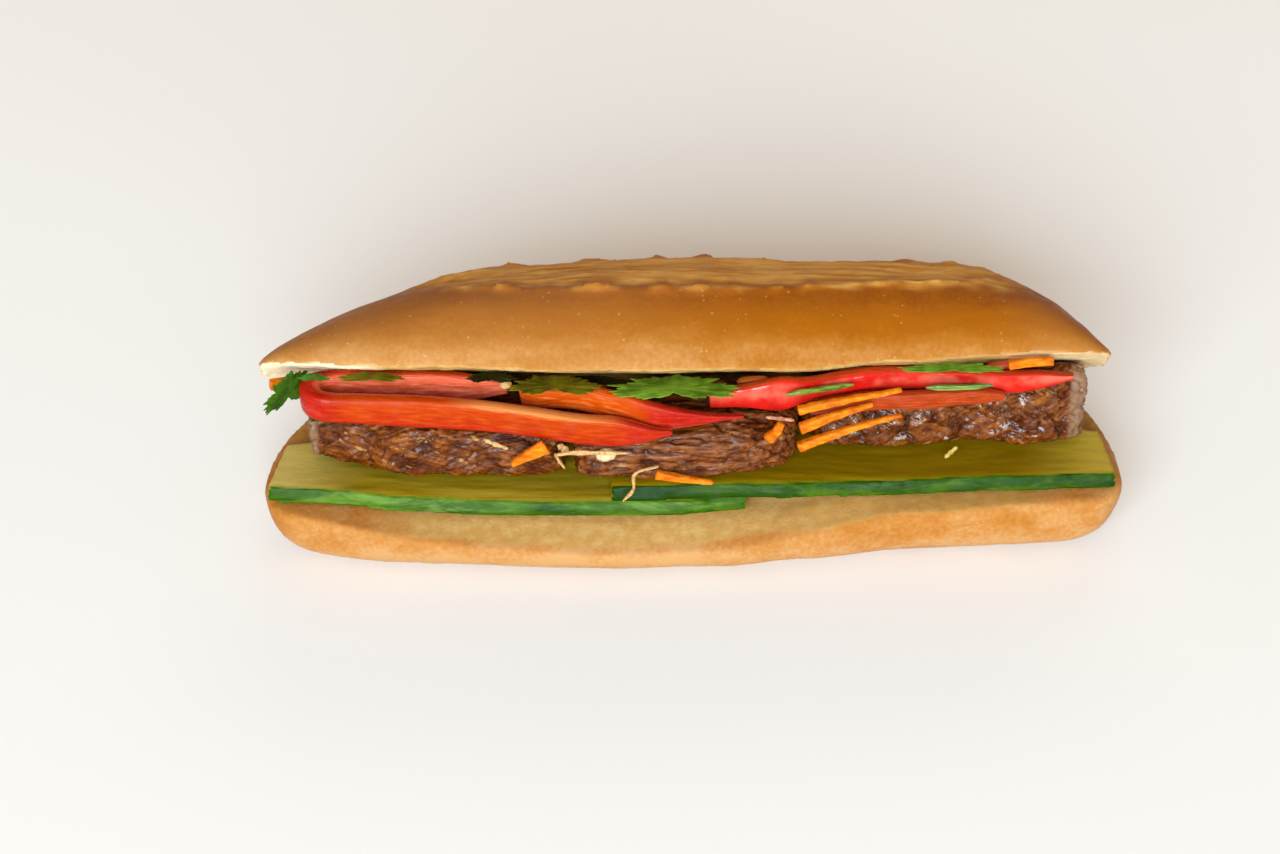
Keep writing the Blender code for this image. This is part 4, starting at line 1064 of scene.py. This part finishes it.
def make_leaves():
    level, turned = (1.0, 0.0, 0.0), (1.0, 0.9, 0.0)
    green = leaf_material("coriander_green", (0.012, 0.045, 0.002), (0.045, 0.120, 0.006))
    bright = leaf_material("coriander_bright", (0.060, 0.130, 0.004), (0.170, 0.310, 0.024))
    olive = leaf_material("coriander_olive", (0.055, 0.050, 0.001), (0.150, 0.125, 0.003))
    # Painted shade: the near-black colour of the leaves that lie in shade under the lid.
    painted_shade_leaf = leaf_material("coriander_in_painted_shade", (0.006, 0.006, 0.001), (0.020, 0.022, 0.002))
    leaves = {
        "leaf_left": ((-114.8, -12.4, 51.0), (0.0, -0.3, 0.95), (8.8, 7.6), 0.2, green),
        "leaf_left_low": ((-101.5, -14.6, 44.6), (0.0, 1.0, 0.0), (8.5, 5.0), 0.05, green),
        "leaf_olive_left": ((-91.0, -14.6, 58.0), (0.0, 1.0, 0.0), (9.4, 2.4), 0.05, olive),
        "leaf_dark_left": ((-57.0, -14.4, 57.8), (0.0, 1.0, 0.0), (6.8, 2.8), 0.1, painted_shade_leaf),
        "leaf_olive_middle": ((-39.0, -18.0, 57.8), (0.0, 1.0, -0.05), (12.6, 5.2), 0.25, olive),
        "leaf_dark_middle": ((-30.0, -9.6, 52.6), (0.0, 1.0, 0.0), (12.0, 2.6), 0.1, painted_shade_leaf),
        "leaf_centre": ((-5.6, -19.2, 57.8), (0.0, 1.0, -0.08), (18.0, 6.6), 0.3, bright),
        "leaf_right": ((73.0, -12.2, 59.4), (0.0, 1.0, 0.0), (14.6, 2.6), 0.1, bright),
        "leaf_left_top": ((-107.0, -15.8, 58.9), (0.0, -0.3, 0.95), (4.4, 2.0), 0.05, green),
    }
    for seed, (node, (centre, upward, size, curl, look)) in enumerate(leaves.items()):
        across = turned if node == "leaf_left" else level
        make_leaf(node, centre, across, upward, size, curl, float(seed), look)


# Floor, light and camera


def make_floor():
    mesh = bpy.data.meshes.new("floor")
    bm = bmesh.new()
    bmesh.ops.create_grid(bm, x_segments=2, y_segments=2, size=FLOOR_REACH)
    bm.to_mesh(mesh)
    bm.free()
    floor = link("floor", mesh)
    s = Shade("pale_floor", Roughness=0.7)
    s.link(s.mix(s.noise(300.0, 2.0), (0.90, 0.89, 0.885), (0.92, 0.915, 0.91)), "Base Color")
    mesh.materials.append(s.material)


def area_light(name, place, target, size, watts, colour):
    data = bpy.data.lights.new(name, "AREA")
    data.shape = "RECTANGLE"
    data.size, data.size_y = size
    data.energy = watts
    data.color = colour
    light = link(name, data)
    light.location = place
    light.rotation_euler = (Vector(target) - Vector(place)).to_track_quat("-Z", "Y").to_euler()


def make_light():
    world = bpy.data.worlds.new("studio")
    bpy.context.scene.world = world
    world.use_nodes = True
    background = world.node_tree.nodes["Background"]
    background.inputs[0].default_value = (1.0, 0.80, 0.62, 1.0)
    background.inputs[1].default_value = 0.48
    middle = (0.0, 0.0, 0.03)
    area_light("front_window", (-0.6, -2.9, 1.5), middle, (2.6, 1.2), 150.0, (0.76, 0.91, 1.0))
    area_light("low_window", (0.2, -3.0, 0.40), middle, (2.6, 0.6), 55.0, (0.82, 0.94, 1.0))
    area_light("back_fill", (0.4, 2.2, 1.4), middle, (2.0, 1.0), 9.0, (1.0, 0.84, 0.68))
    bpy.context.scene.view_settings.view_transform = "Standard"


def make_camera():
    data = bpy.data.cameras.new("camera")
    data.sensor_width = SENSOR
    data.sensor_fit = "HORIZONTAL"
    data.lens = SENSOR * VIEW_DISTANCE / VIEW_WIDTH
    camera = link("camera", data)
    away = Vector((0.0, -math.cos(VIEW_ELEVATION), math.sin(VIEW_ELEVATION)))
    camera.location = Vector(VIEW_CENTRE) + away * VIEW_DISTANCE
    camera.rotation_euler = (math.pi / 2 - VIEW_ELEVATION, 0.0, 0.0)
    bpy.context.scene.camera = camera


make_camera()
make_light()
make_floor()
make_bread()
make_cucumber("cucumber_left", 31)
make_cucumber("cucumber_right", 37)
make_beef("beef_left", 40, (0.9, 0.0, 0.35), 1.2)
make_beef("beef_middle", 43, (1.0, 0.0, -0.12), 0.8)
make_beef("beef_right", 47, (0.8, 0.0, -0.55), 1.1)
make_peppers()
make_carrots()
make_slivers()
make_strands()
make_leaves()
